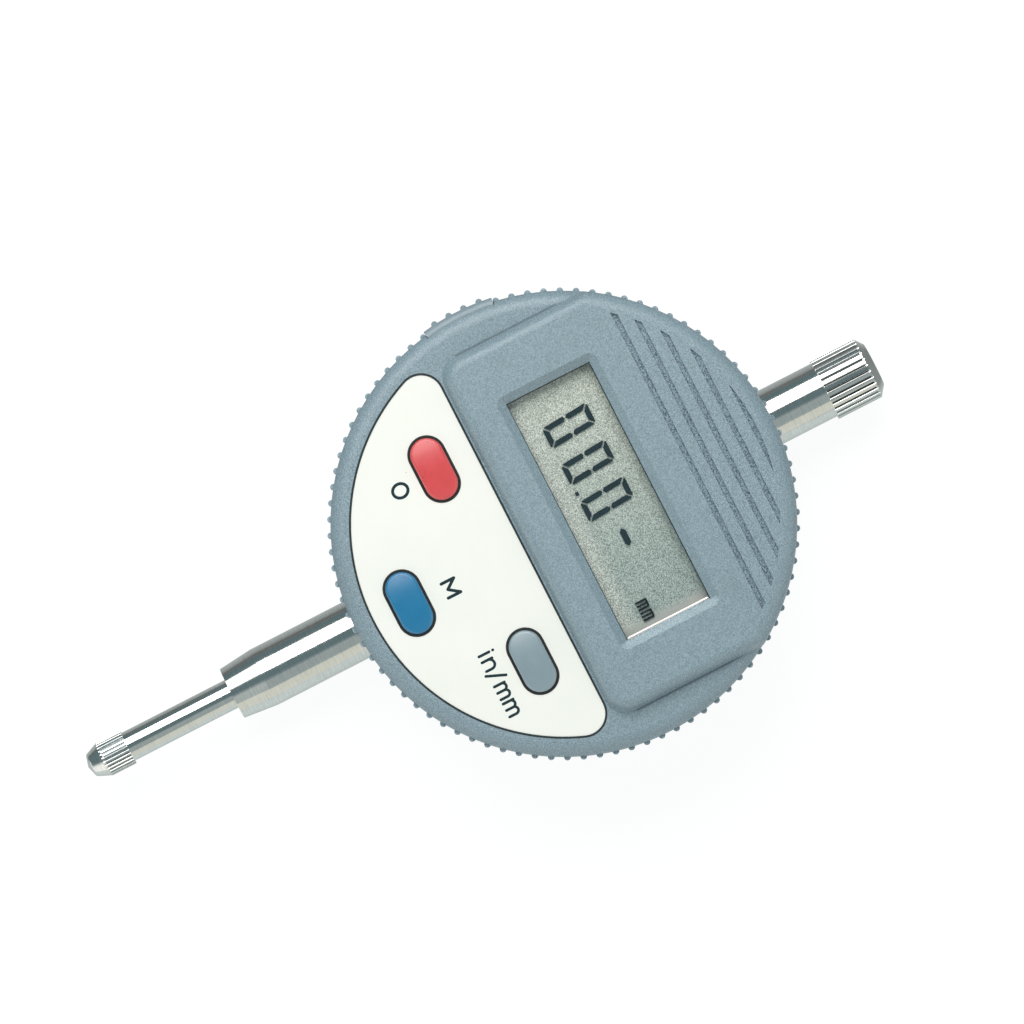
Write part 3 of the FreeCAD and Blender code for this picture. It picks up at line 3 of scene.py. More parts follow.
import bmesh
import bpy
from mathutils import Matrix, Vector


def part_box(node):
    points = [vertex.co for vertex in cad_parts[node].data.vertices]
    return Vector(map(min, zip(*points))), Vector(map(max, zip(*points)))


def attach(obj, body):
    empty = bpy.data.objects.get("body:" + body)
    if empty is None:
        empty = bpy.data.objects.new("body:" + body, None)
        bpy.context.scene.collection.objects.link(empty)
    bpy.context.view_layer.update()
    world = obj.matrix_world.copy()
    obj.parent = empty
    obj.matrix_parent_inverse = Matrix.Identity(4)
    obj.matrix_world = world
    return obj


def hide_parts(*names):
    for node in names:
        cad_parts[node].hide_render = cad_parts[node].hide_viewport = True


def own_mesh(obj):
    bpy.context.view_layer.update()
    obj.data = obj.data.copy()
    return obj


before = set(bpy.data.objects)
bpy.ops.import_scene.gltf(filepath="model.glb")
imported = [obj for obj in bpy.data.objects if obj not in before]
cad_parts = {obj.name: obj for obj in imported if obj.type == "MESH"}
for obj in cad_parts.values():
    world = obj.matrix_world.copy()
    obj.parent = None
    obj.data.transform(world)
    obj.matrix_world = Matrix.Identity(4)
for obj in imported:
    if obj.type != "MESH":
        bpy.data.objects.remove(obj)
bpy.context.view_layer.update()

# Rear case. The rear housing and its back cover are moulded in glass-filled nylon, blue-grey right
# through, with a fine spark-eroded grain from the mould. Four countersunk steel screws hold the
# cover on.


def paint(red, green, blue):
    """A colour read as 0 to 255 on a screen, given as linear light."""
    shades = [c / 255 for c in (red, green, blue)]
    return tuple(c / 12.92 if c <= 0.04045 else ((c + 0.055) / 1.055) ** 2.4
                 for c in shades) + (1.0,)


def grey(level):
    """A plain grey of that level."""
    return (level, level, level, 1.0)


def shaded(colour, factor):
    """The colour made darker or lighter by a factor."""
    return tuple(min(1.0, c * factor) for c in colour[:3]) + (1.0,)


def new_finish(name):
    """A new material, with its nodes and its shader."""
    finish = bpy.data.materials.new(name)
    finish.use_nodes = True
    return finish, finish.node_tree, finish.node_tree.nodes["Principled BSDF"]


def node(tree, kind, inputs=(), **settings):
    """A shader node whose inputs are set to values or joined to other nodes' outputs."""
    made = tree.nodes.new("ShaderNode" + kind)
    for name, value in settings.items():
        setattr(made, name, value)
    for name, value in dict(inputs).items():
        if isinstance(value, bpy.types.NodeSocket):
            tree.links.new(value, made.inputs[name])
        else:
            made.inputs[name].default_value = value
    return made


def fade(tree, value, start, end, first=0.0, last=1.0):
    """A number that goes from first to last as the value goes from start to end."""
    return node(tree, "MapRange", {"Value": value, "From Min": start, "From Max": end,
                                   "To Min": first, "To Max": last}).outputs["Result"]


def span(tree, factor, low, high):
    """A number that goes from low to high with the factor."""
    return fade(tree, factor, 0.0, 1.0, low, high)


def position(tree, stretch=(1, 1, 1)):
    """The place on the piece in millimetres, stretched along the axes."""
    place = node(tree, "TexCoord").outputs["Object"]
    return node(tree, "Mapping", {"Vector": place, "Scale": [1000 * s for s in stretch]}
                ).outputs["Vector"]


def grain(tree, place, per_mm, detail=3.0, contrast=None):
    """Cloudy grain from 0 to 1, with so many cells to the millimetre."""
    cloud = node(tree, "TexNoise", {"Vector": place, "Scale": per_mm, "Detail": detail,
                                    "Roughness": 0.6}).outputs["Fac"]
    if contrast is None:
        return cloud
    return fade(tree, cloud, 0.5 - contrast, 0.5 + contrast)


def between(tree, factor, low, high, blend="MIX"):
    """One of two colours, or a mix of them."""
    mix = node(tree, "Mix", data_type="RGBA", blend_type=blend)
    for slot, value in ((0, factor), (6, low), (7, high)):
        if isinstance(value, bpy.types.NodeSocket):
            tree.links.new(value, mix.inputs[slot])
        else:
            mix.inputs[slot].default_value = value
    return mix.outputs[2]


def tinted(tree, colour, marks):
    """A colour darkened or lightened by marks, whose plain shade is 1."""
    return between(tree, 1.0, colour, marks, "MULTIPLY")


def roughen(tree, shader, height, depth_mm):
    """Fine relief of that depth on the surface."""
    bump = node(tree, "Bump", {"Height": height, "Strength": 1.0, "Distance": depth_mm / 1000})
    tree.links.new(bump.outputs["Normal"], shader.inputs["Normal"])


def moulded_plastic(name, colour, speckle=0.22, cloud=0.03, cells=7.5, relief=0.02,
                    rough=(0.22, 0.34)):
    """Moulded plastic: a fine speckled grain over slow changes of shade."""
    finish, tree, shader = new_finish(name)
    place = position(tree)
    fine = grain(tree, place, cells, 2.0, 0.16)
    slow = grain(tree, place, 0.09, 2.0, 0.25)
    tone = between(tree, slow, shaded(colour, 1 - cloud), shaded(colour, 1 + cloud))
    marked = between(tree, fine, grey(1 - speckle), grey(1 + speckle))
    tree.links.new(tinted(tree, tone, marked), shader.inputs["Base Color"])
    tree.links.new(span(tree, fine, *rough), shader.inputs["Roughness"])
    shader.inputs["Specular IOR Level"].default_value = 0.8
    roughen(tree, shader, fine, relief)
    return finish


def machined_metal(name, colour, rough=(0.2, 0.32), lines=(0.3, 30, 0.3), relief=0.002,
                   tarnish=0.06):
    """Bare metal with tool or grinding lines, drawn out along the axis of low density."""
    finish, tree, shader = new_finish(name)
    drawn = grain(tree, position(tree, lines), 1.0, 3.0, 0.25)
    slow = grain(tree, position(tree), 0.35, 3.0, 0.25)
    tone = between(tree, slow, shaded(colour, 1 - tarnish), shaded(colour, 1 + tarnish / 2))
    marked = between(tree, drawn, (0.93, 0.93, 0.94, 1), grey(1))
    tree.links.new(tinted(tree, tone, marked), shader.inputs["Base Color"])
    tree.links.new(span(tree, drawn, *rough), shader.inputs["Roughness"])
    shader.inputs["Metallic"].default_value = 1.0
    roughen(tree, shader, drawn, relief)
    return finish


def dress(finish, *names):
    """Gives CAD nodes their finish."""
    for name in names:
        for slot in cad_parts[name].material_slots:
            slot.material = finish


case_grey = paint(131, 152, 161)
case_finish = moulded_plastic("case_nylon", case_grey)
dress(case_finish, "rear_housing", "back_cover")
screw_steel = machined_metal("screw_steel", paint(190, 190, 188), rough=(0.25, 0.4),
                             lines=(6, 6, 6))
dress(screw_steel, "back_cover_screws")

# Stem, tube and cap. The 8 mm stem, the upper tube and the fluted cap are turned from stainless
# steel. The stem and tube are ground bright, which leaves faint lines round them, and are pressed
# into the housing; the cap screws on to the tube.
spindle_height, flute_edge = 7.0, 0.07
cap_flutes = {"top": 4.22, "depth": 0.17, "low_y": 37.95, "high_y": 43.95}
steel_shade = (1.0, 1.0, 0.99, 1.0)


def maths(tree, operation, *values):
    """The result of a sum or a test on numbers and other nodes' outputs."""
    return node(tree, "Math", dict(enumerate(values)), operation=operation).outputs[0]


def x_y_z(tree, vector):
    """The three coordinates of a place or direction."""
    parts = node(tree, "SeparateXYZ", {"Vector": vector})
    return [parts.outputs[axis] for axis in "XYZ"]


def from_axis(tree, first, second):
    """How far a place is from an axis, from its two coordinates across it."""
    across = node(tree, "CombineXYZ", {"X": first, "Y": second}).outputs["Vector"]
    return node(tree, "VectorMath", {0: across}, operation="LENGTH").outputs["Value"]


def in_flutes(tree, top, depth, low_y, high_y):
    """1 deep in the flutes of a piece on the spindle's axis, and 0 on its ribs and ends."""
    x, y, z = x_y_z(tree, position(tree))
    radius = from_axis(tree, x, maths(tree, "SUBTRACT", z, spindle_height))
    deep = fade(tree, radius, top - depth, top - flute_edge, 1.0, 0.0)
    fluted = maths(tree, "MULTIPLY", maths(tree, "GREATER_THAN", y, low_y),
                   maths(tree, "LESS_THAN", y, high_y))
    return maths(tree, "MULTIPLY", deep, fluted)


def bright_steel(name, rough, nicks, flutes=None, flute_painted_shade=None):
    """Ground and polished steel: lines and short streaks round the axis, faint rubbed patches,
    fine pits, and painted shade in its flutes, if it has any."""
    finish, tree, shader = new_finish(name)
    rings = grain(tree, position(tree, (0.25, 9, 0.25)), 1.0, 4.0, 0.3)
    rubbed = grain(tree, position(tree, (1.2, 0.35, 1.2)), 1.0, 4.0, 0.25)
    streaks = grain(tree, position(tree, (0.7, 5, 0.7)), 1.0, 5.0, 0.2)
    pits = node(tree, "TexVoronoi", {"Vector": position(tree, (1.6, 1.1, 1.6)), "Scale": 1.0,
                                     "Randomness": 1.0}).outputs["Distance"]
    pit = fade(tree, pits, 0.02, nicks)
    steel = between(tree, rings, paint(222, 223, 220), paint(247, 247, 243))
    worn = between(tree, rubbed, shaded(steel_shade, 0.97), steel_shade)
    tone = between(tree, pit, paint(120, 124, 124), tinted(tree, steel, worn))
    tone = tinted(tree, tone, between(tree, streaks, paint(238, 239, 239), grey(1)))
    # Painted shade: the flutes are painted dark where they would lie in shade
    if flutes:
        tone = between(tree, in_flutes(tree, **flutes), tone, flute_painted_shade)
    tree.links.new(tone, shader.inputs["Base Color"])
    tree.links.new(span(tree, rubbed, *rough), shader.inputs["Roughness"])
    shader.inputs["Metallic"].default_value = 1.0
    roughen(tree, shader, maths(tree, "MULTIPLY", rings, pit), 0.0012)
    return finish


dress(bright_steel("ground_steel", rough=(0.07, 0.14), nicks=0.055), "stem", "guard_tube")
dress(bright_steel("fluted_steel", rough=(0.10, 0.18), nicks=0.03, flutes=cap_flutes,
                   flute_painted_shade=paint(34, 44, 50)), "screw_cap")

# Spindle and its bearings. The spindle is hardened and ground steel, 4 mm thick, and slides in two
# bronze bushes. A fluted contact point with a hard ball end screws into it. A rubber ring under
# the carriage softens the end of the stroke.
point_flutes = {"top": 2.39, "depth": 0.13, "low_y": -66.45, "high_y": -63.15}
dress(bright_steel("spindle_steel", rough=(0.06, 0.12), nicks=0.04), "spindle")
dress(bright_steel("point_steel", rough=(0.12, 0.2), nicks=0.03, flutes=point_flutes,
                   flute_painted_shade=paint(112, 126, 132)), "contact_point")
dress(machined_metal("bearing_bronze", paint(196, 158, 104), rough=(0.3, 0.45),
                     lines=(0.4, 12, 0.4)), "lower_bushing", "upper_bushing")


def soft_rubber(name, colour, dust=0.25):
    """Rubber with a dull bloom and fine dust on it."""
    finish, tree, shader = new_finish(name)
    place = position(tree)
    bloom = grain(tree, place, 1.1, 4.0, 0.3)
    fine = grain(tree, place, 9.0, 2.0, 0.25)
    tone = between(tree, bloom, shaded(colour, 1 - dust), shaded(colour, 1 + dust))
    tree.links.new(tone, shader.inputs["Base Color"])
    tree.links.new(span(tree, fine, 0.6, 0.78), shader.inputs["Roughness"])
    roughen(tree, shader, fine, 0.008)
    return finish


black_rubber = soft_rubber("black_rubber", paint(42, 44, 46))
dress(black_rubber, "bumper_ring")

# Carriage, rail and spring. The carriage is milled from aluminium and clamped to the spindle with
# one screw. Its steel pin runs along the anodised guide rail, so the spindle can't turn, and a
# spring of steel wire pushes it down.
dress(machined_metal("milled_aluminium", paint(205, 206, 208), rough=(0.28, 0.42),
                     lines=(5, 1.2, 5), relief=0.004), "carriage")
dress(machined_metal("rail_aluminium", paint(178, 182, 186), rough=(0.35, 0.5),
                     lines=(4, 0.3, 4), relief=0.003), "guide_rail")
dress(screw_steel, "carriage_screw", "rail_screws")
dress(machined_metal("pin_steel", paint(205, 205, 202), rough=(0.18, 0.3), lines=(8, 8, 1)),
      "guide_pin", "stop_pin")
spring_wire = machined_metal("spring_wire", paint(176, 176, 172), rough=(0.22, 0.36),
                             lines=(5, 5, 5), tarnish=0.12)

spring_radius, wire_radius, travel, spindle_level = 0.00265, 0.0002, 0.0127, spindle_height / 1000
coil_turns, coil_steps, wire_sides = 9, 28, 12
spring_low, spring_high = [corner[1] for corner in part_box("return_spring")]


def wound_spring():
    """A coil of round wire round the spindle, with its ends cut off square."""
    coil = bmesh.new()
    rings = []
    pitch = (spring_high - spring_low - 2 * wire_radius) / coil_turns
    tilt = math.atan2(pitch, 2 * math.pi * spring_radius)
    for i in range(coil_turns * coil_steps + 1):
        turn = 2 * math.pi * i / coil_steps
        y = spring_low + wire_radius + pitch * i / coil_steps
        ring = []
        for k in range(wire_sides):
            a = 2 * math.pi * k / wire_sides
            out = spring_radius + wire_radius * math.cos(a)
            rise = wire_radius * math.sin(a) * math.cos(tilt)
            lag = wire_radius * math.sin(a) * math.sin(tilt)
            ring.append(coil.verts.new((
                out * math.cos(turn) + lag * math.sin(turn), y + rise,
                spindle_level + out * math.sin(turn) - lag * math.cos(turn))))
        rings.append(ring)
    for low, high in zip(rings, rings[1:]):
        for k in range(wire_sides):
            coil.faces.new((low[k], low[k - 1], high[k - 1], high[k]))
    coil.faces.new(rings[0])
    coil.faces.new(rings[-1][::-1])
    bmesh.ops.recalc_face_normals(coil, faces=coil.faces)
    return coil


def piece(name, body, finishes, work, smooth=False):
    """A new object from finished mesh work in metres, riding on its body."""
    mesh = bpy.data.meshes.new(name)
    work.to_mesh(mesh)
    work.free()
    for finish in finishes:
        mesh.materials.append(finish)
    for face in mesh.polygons:
        face.use_smooth = smooth
    made = bpy.data.objects.new(name, mesh)
    bpy.context.scene.collection.objects.link(made)
    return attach(made, body)


coil_spring = piece("coil_spring", "case", [spring_wire], wound_spring(), smooth=True)
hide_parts("return_spring")
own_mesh(coil_spring)

# Linear scale and sensor. The glass scale is glued to the carriage and carries chromium bars. The
# sensor board over it is glass-fibre laminate with a green solder mask, held by small screws, and
# a bundle of thin wires runs from it to the display.


def ruled_glass():
    """Glass with dark chromium bars across it."""
    finish, tree, shader = new_finish("ruled_glass")
    bars = node(tree, "TexWave", {"Vector": position(tree), "Scale": 1.6, "Distortion": 0.0},
                wave_type="BANDS", bands_direction="Y", wave_profile="SIN").outputs["Fac"]
    haze = grain(tree, position(tree), 2.0, 3.0, 0.3)
    plain = between(tree, haze, paint(196, 208, 206), paint(214, 222, 220))
    ruled = between(tree, fade(tree, bars, 0.47, 0.53), plain, paint(74, 80, 84))
    tree.links.new(ruled, shader.inputs["Base Color"])
    tree.links.new(span(tree, haze, 0.05, 0.14), shader.inputs["Roughness"])
    return finish


def circuit_board(name):
    """Green laminate: copper tracks under the mask, and the weave of the glass cloth."""
    finish, tree, shader = new_finish(name)
    place = position(tree)
    cells = node(tree, "TexVoronoi", {"Vector": place, "Scale": 0.55},
                 distance="CHEBYCHEV", feature="F1").outputs["Distance"]
    track = fade(tree, maths(tree, "PINGPONG", cells, 0.22), 0.05, 0.07)
    weave = node(tree, "TexWave", {"Vector": place, "Scale": 2.2, "Distortion": 1.5},
                 wave_type="BANDS", bands_direction="DIAGONAL").outputs["Fac"]
    mask = between(tree, weave, paint(28, 104, 66), paint(34, 114, 72))
    tree.links.new(between(tree, track, paint(60, 142, 88), mask), shader.inputs["Base Color"])
    tree.links.new(span(tree, weave, 0.28, 0.4), shader.inputs["Roughness"])
    shader.inputs["Coat Weight"].default_value = 0.4
    roughen(tree, shader, track, 0.02)
    return finish


def banded(name, colours, per_mm, rough=0.5):
    """Even bands of two colours side by side, as on a wire bundle or a contact strip."""
    finish, tree, shader = new_finish(name)
    bands = node(tree, "TexWave", {"Vector": position(tree), "Scale": per_mm,
                                   "Distortion": 0.3, "Detail": 1.0},
                 wave_type="BANDS", bands_direction="X").outputs["Fac"]
    tree.links.new(between(tree, fade(tree, bands, 0.4, 0.6), *colours),
                   shader.inputs["Base Color"])
    shader.inputs["Roughness"].default_value = rough
    roughen(tree, shader, bands, 0.03)
    return finish


dress(ruled_glass(), "linear_scale")
board_green = circuit_board("board_green")
dress(board_green, "sensor_board")
dress(screw_steel, "sensor_screws")
dress(banded("wire_bundle", (paint(176, 52, 44), paint(44, 46, 50)), per_mm=0.6), "signal_wires")

# Battery. A coin cell lies in a black tray behind a round lid that turns to lock, with a rubber
# seal under it. Sprung contacts of gold-coloured bronze touch the cell.
black_plastic = moulded_plastic("black_plastic", paint(52, 54, 57), speckle=0.12, cloud=0.05)
dress(black_plastic, "battery_tray")
dress(machined_metal("cell_steel", paint(214, 214, 210), rough=(0.16, 0.28),
                     lines=(3, 0.6, 3)), "coin_cell")
dress(machined_metal("spring_bronze", paint(214, 178, 112), rough=(0.25, 0.38),
                     lines=(3, 3, 3)), "contact_plus", "contact_minus")
dress(case_finish, "battery_lid")
dress(black_rubber, "lid_seal")

# Turning joint. The display head turns on the rear case. A steel ring screwed to the head base
# runs behind the shoulder of the case, and an O-ring gives it drag.
dress(machined_metal("ring_steel", paint(184, 185, 184), rough=(0.3, 0.42), lines=(2, 2, 8),
                     relief=0.003), "retaining_ring")
dress(screw_steel, "retainer_screws", "head_screws")
dress(black_rubber, "turn_o_ring")
dress(case_finish, "head_base")

# Display board. The board that drives the display has a moulded chip, three dome switches and a
# data socket. Two rubber strips of fine carbon layers join it to the glass of the display.
dress(board_green, "display_board")
dress(screw_steel, "board_screws")
dress(moulded_plastic("chip_epoxy", paint(40, 41, 43), speckle=0.15, cloud=0.04, cells=7.0,
                      relief=0.01, rough=(0.55, 0.7)), "display_chip")
dress(black_plastic, "tact_switches", "data_socket", "lcd_frame", "zero_plunger",
      "mode_plunger", "unit_plunger")
dress(banded("zebra_rubber", (paint(196, 196, 190), paint(36, 36, 38)), per_mm=3.0, rough=0.6),
      "zebra_strips")

# Liquid crystal display. The display is a sandwich: a grey-green reflector with a fine sparkle, the
# dark segments a little above it, so that they throw a soft shadow on it, and a clear front glass.
# It lies in its frame behind the window.
lcd_half_width, lcd_low_y, lcd_high_y = 18.0, -0.7, 13.4
lcd_back, reflector_top, segment_z, glass_low, lcd_front = 20.8, 22.36, 22.56, 22.6, 22.8
segment_thickness, segment_border, glass_rim = 0.03, 0.11, 0.1
# Where light is painted on the film: lighter towards the left, along the lower edge and at the
# right end
painted_lit_left_x, painted_shaded_right_x, painted_light_start_y, painted_light_full_y = -14.0, 9.0, 3.2, 0.6
painted_bounce_start_x, painted_bounce_full_x = 15.0, 16.2


def add_plate(work, outline, low, high, rim=0.0):
    """A flat plate in millimetres between two heights, with a sloped rim round its top; gives
    its top face."""
    rings = [[(x, y, low) for x, y in outline]]
    if rim:
        rings.append([(x, y, high - rim) for x, y in outline])
        rings.append([(x, y, high) for x, y in drawn_in(outline, rim)])
    else:
        rings.append([(x, y, high) for x, y in outline])
    made = [[work.verts.new([c / 1000 for c in point]) for point in ring] for ring in rings]
    work.faces.new(made[0][::-1])
    top = work.faces.new(made[-1])
    for below, above in zip(made, made[1:]):
        for i in range(len(below)):
            j = (i + 1) % len(below)
            work.faces.new((below[i], below[j], above[j], above[i]))
    return top


def drawn_in(outline, distance):
    """The anticlockwise outline moved inwards by a distance, its sharp corners held back."""
    moved = []
    for i, (x, y) in enumerate(outline):
        ax, ay = outline[i - 1]
        bx, by = outline[(i + 1) % len(outline)]
        d1 = math.hypot(x - ax, y - ay)
        d2 = math.hypot(bx - x, by - y)
        n1 = (-(y - ay) / d1, (x - ax) / d1)
        n2 = (-(by - y) / d2, (bx - x) / d2)
        k = distance / max(0.2, 1 + n1[0] * n2[0] + n1[1] * n2[1])
        moved.append((x + (n1[0] + n2[0]) * k, y + (n1[1] + n2[1]) * k))
    return moved


def box_outline(x0, y0, x1, y1):
    """A rectangle from its lowest corner to its highest, anticlockwise."""
    return [(x0, y0), (x1, y0), (x1, y1), (x0, y1)]


def reflector_film():
    """Grey-green film with a strong fine sparkle, with painted light on it: lighter and yellower at
    the left, paler along its lower edge where the window's wall shades it, and paler at its right
    end as light bounced from the polished lens end."""
    finish, tree, shader = new_finish("reflector_film")
    place = position(tree)
    sparkle = grain(tree, place, 8.52, 2.0, 0.10)
    x, y = x_y_z(tree, place)[:2]
    # Painted light: lighter at the left, paler along the lower edge against the wall's shadow, and
    # paler at the right end as bounced light
    painted_bounce_right_end = fade(tree, x, painted_bounce_start_x, painted_bounce_full_x)
    film_with_painted_light = between(tree, fade(tree, x, painted_lit_left_x, painted_shaded_right_x), paint(204, 211, 200),
                   paint(168, 184, 178))
    film_with_painted_light = between(tree, fade(tree, y, painted_light_start_y, painted_light_full_y), film_with_painted_light, paint(214, 221, 212))
    film_with_painted_light = between(tree, painted_bounce_right_end, film_with_painted_light, paint(206, 211, 203))
    marked = between(tree, sparkle, (0.44, 0.47, 0.47, 1), (1.44, 1.43, 1.41, 1))
    marked = between(tree, painted_bounce_right_end, marked, grey(0.97))
    tree.links.new(tinted(tree, film_with_painted_light, marked), shader.inputs["Base Color"])
    tree.links.new(span(tree, sparkle, 0.5, 0.7), shader.inputs["Roughness"])
    roughen(tree, shader, sparkle, 0.01)
    return finish


def printed_ink(name, colour):
    """Dull dark ink, with faint streaks from the printing."""
    finish, tree, shader = new_finish(name)
    streak = grain(tree, position(tree, (3, 9, 3)), 1.0, 2.0, 0.3)
    tree.links.new(between(tree, streak, shaded(colour, 0.85), shaded(colour, 1.12)),
                   shader.inputs["Base Color"])
    shader.inputs["Roughness"].default_value = 0.6
    shader.inputs["Specular IOR Level"].default_value = 0.2
    return finish


def clear_sheet(name, rough):
    """Clear plastic or glass: see-through, with its gloss and faint smears on the outside."""
    finish, tree, shader = new_finish(name)
    tree.nodes.remove(shader)
    smear = grain(tree, position(tree, (0.3, 0.6, 0.3)), 1.0, 4.0, 0.3)
    through = node(tree, "BsdfTransparent", {"Color": grey(1)})
    gloss = node(tree, "BsdfGlossy", {"Color": grey(1), "Roughness": span(tree, smear, *rough)})
    outside = maths(tree, "SUBTRACT", 1.0, node(tree, "NewGeometry").outputs["Backfacing"])
    share = maths(tree, "MULTIPLY", node(tree, "Fresnel", {"IOR": 1.49}).outputs[0], outside)
    both = node(tree, "MixShader", {0: share, 1: through.outputs[0], 2: gloss.outputs[0]})
    tree.links.new(both.outputs[0], tree.nodes["Material Output"].inputs["Surface"])
    return finish


lcd_outline = box_outline(-lcd_half_width, lcd_low_y, lcd_half_width, lcd_high_y)
film_work = bmesh.new()
add_plate(film_work, lcd_outline, lcd_back, reflector_top)
reflector = piece("lcd_reflector", "display_head", [reflector_film()], film_work)
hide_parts("lcd")

digit_width, digit_height, lean = 2.95, 6.56, 0.46
digit_starts, digit_foot = (-12.06, -6.80, -1.54), 3.03
# One upright and one cross segment of a digit, whose mirror images make up the rest
upright = [(0.0, 3.58), (0.08, 3.48), (0.36, 3.34), (0.70, 3.62), (0.70, 5.68),
           (0.12, 6.28), (0.0, 6.16)]
across_bar = [(0.88, 5.86), (2.07, 5.86), (2.73, 6.44), (2.62, 6.56), (0.33, 6.56),
              (0.22, 6.44)]
decimal_point = box_outline(-2.87, 3.02, -2.38, 3.50)
minus_bar = [(3.84, 6.25), (4.25, 5.84), (5.88, 5.84), (6.30, 6.25), (5.88, 6.65),
             (4.25, 6.65)]
unit_starts, unit_foot, unit_height, unit_pitch, unit_leg = (13.12, 14.56), 3.42, 1.6, 0.475, 0.25


def flipped(shape, left_right, up_down):
    """A segment's outline mirrored within its digit."""
    turned = [(digit_width - u if left_right else u, digit_height - v if up_down else v)
              for u, v in shape]
    return turned[::-1] if left_right != up_down else turned


def leaning(shape, start):
    """A segment's outline set in its place, in a digit that leans to the left."""
    return [(start + u - lean * v / digit_height, digit_foot + v) for u, v in shape]


def letter_m(x, y, pitch, leg, height):
    """The outline of a small m with three legs and a round shoulder at each side."""
    r = leg * 0.8
    top, under = y + height, y + height - leg
    right = x + 2 * pitch + leg
    shoulder = [(right, top - r), (right - 0.3 * r, top - 0.3 * r), (right - r, top)]
    left = [(x + 0.5 * r, top), (x, top - 0.5 * r)]
    legs = [(x, y), (x + leg, y), (x + leg, under), (x + pitch, under), (x + pitch, y),
            (x + pitch + leg, y), (x + pitch + leg, under), (x + 2 * pitch, under),
            (x + 2 * pitch, y), (right, y)]
    return legs + shoulder + left


outlines = []
for start in digit_starts:
    bars = [flipped(upright, left_right, up_down)
            for left_right in (False, True) for up_down in (False, True)]
    bars += [flipped(across_bar, False, up_down) for up_down in (False, True)]
    outlines += [leaning(bar, start) for bar in bars]
outlines += [decimal_point, minus_bar]
ink = bmesh.new()
segment_top = segment_z + segment_thickness
for outline in outlines:
    top = add_plate(ink, outline, segment_z, segment_top)
    bmesh.ops.inset_individual(ink, faces=[top], thickness=segment_border / 1000,
                               use_even_offset=True)
    top.material_index = 1
for start in unit_starts:
    add_plate(ink, letter_m(start, unit_foot, unit_pitch, unit_leg, unit_height), segment_z,
              segment_top)
segments = piece("lcd_segments", "display_head",
                 [printed_ink("segment_edge", paint(4, 20, 26)),
                  printed_ink("segment_ink", paint(24, 48, 54))], ink)

glass_work = bmesh.new()
add_plate(glass_work, lcd_outline, glass_low, lcd_front, glass_rim)
front_glass = piece("lcd_front_glass", "display_head",
                    [clear_sheet("display_glass", rough=(0.03, 0.08))], glass_work)

# Window lens. A clear acrylic lens lies in the window of the front cover, slightly dished inside a
# low rim. A thin dark line of painted shade runs along three of its sides, and the slope at its
# right end is polished so well that it mirrors the light.
window_half, window_low, window_high, lens_face = 16.9, 0.4, 12.3, 23.9
rim_width, dish, glow_edge, glow_drop, slope_thickness = 0.35, 0.17, 0.17, 0.083, 0.012
shade_line_width, thin_shade_line_width, shade_line_rise = 0.14, 0.098, 0.02
dress(clear_sheet("clear_acrylic", rough=(0.02, 0.06)), "window_lens")


def end_slope():
    """A thin sheet on the slope at the right end of the lens."""
    work = bmesh.new()
    corners = [(rim_width, window_low + rim_width, dish),
               (glow_edge, window_low + glow_edge, glow_drop),
               (glow_edge, window_high - glow_edge, glow_drop),
               (rim_width, window_high - rim_width, dish)]
    below, above = [[work.verts.new(((window_half - inset) / 1000, y / 1000,
                                     (lens_face - drop + lift) / 1000))
                     for inset, y, drop in corners] for lift in (0.0, slope_thickness)]
    work.faces.new(below[::-1])
    work.faces.new(above)
    for i in range(4):
        j = (i + 1) % 4
        work.faces.new((below[i], below[j], above[j], above[i]))
    return work


polished_end = piece("lens_polished_end", "display_head",
                     [machined_metal("polished_acrylic_end", paint(150, 151, 148),
                                     rough=(0.08, 0.14), lines=(2, 0.4, 2))], end_slope())
# A thin dark sheet of painted shade along the left, top and bottom edges of the lens
painted_shade_edge = bmesh.new()
for x0, y0, x1, y1 in ((-window_half, window_low, -window_half + shade_line_width, window_high),
                       (-window_half + shade_line_width, window_high - shade_line_width, window_half,
                        window_high),
                       (-window_half + shade_line_width, window_low, window_half,
                        window_low + thin_shade_line_width)):
    add_plate(painted_shade_edge, box_outline(x0, y0, x1, y1), lens_face, lens_face + shade_line_rise)
lens_shade_line = piece("lens_painted_shade_line", "display_head",
                  [soft_rubber("lens_painted_shade", paint(34, 52, 56))], painted_shade_edge)

# Front cover. The front cover is moulded in the same blue-grey nylon, with a knurled rim, a raised
# platform round the window and five grip grooves above it, whose floors were left as coarse as
# the mould's spark erosion made them and are painted darker as shade. Painted shade also darkens
# the creases at the foot of the platform, and painted light makes the crests of the ribs and the
# bevel at the window's right end paler.
groove_low_y, groove_radius, groove_high_z = 17.0, 27.65, 24.85
crease_x, crease_core, crease_half, crease_low_y = 25.36, 0.06, 0.2, -2.5
crease_full_radius, crease_end_radius = 27.6, 28.6
rib_foot, rib_crest, rib_painted_light_share = 29.85, 30.1, 0.85
bevel_start, bevel_solid, bevel_foot = 16.8, 17.1, 18.05
bevel_low_y, bevel_high_y, bevel_high_z = -0.6, 13.2, 24.96


def where(tree, mask, *limits):
    """The mask, set to 0 where a value fails one of the tests against its limit."""
    for value, test, limit in limits:
        mask = maths(tree, "MULTIPLY", mask, maths(tree, test, value, limit))
    return mask


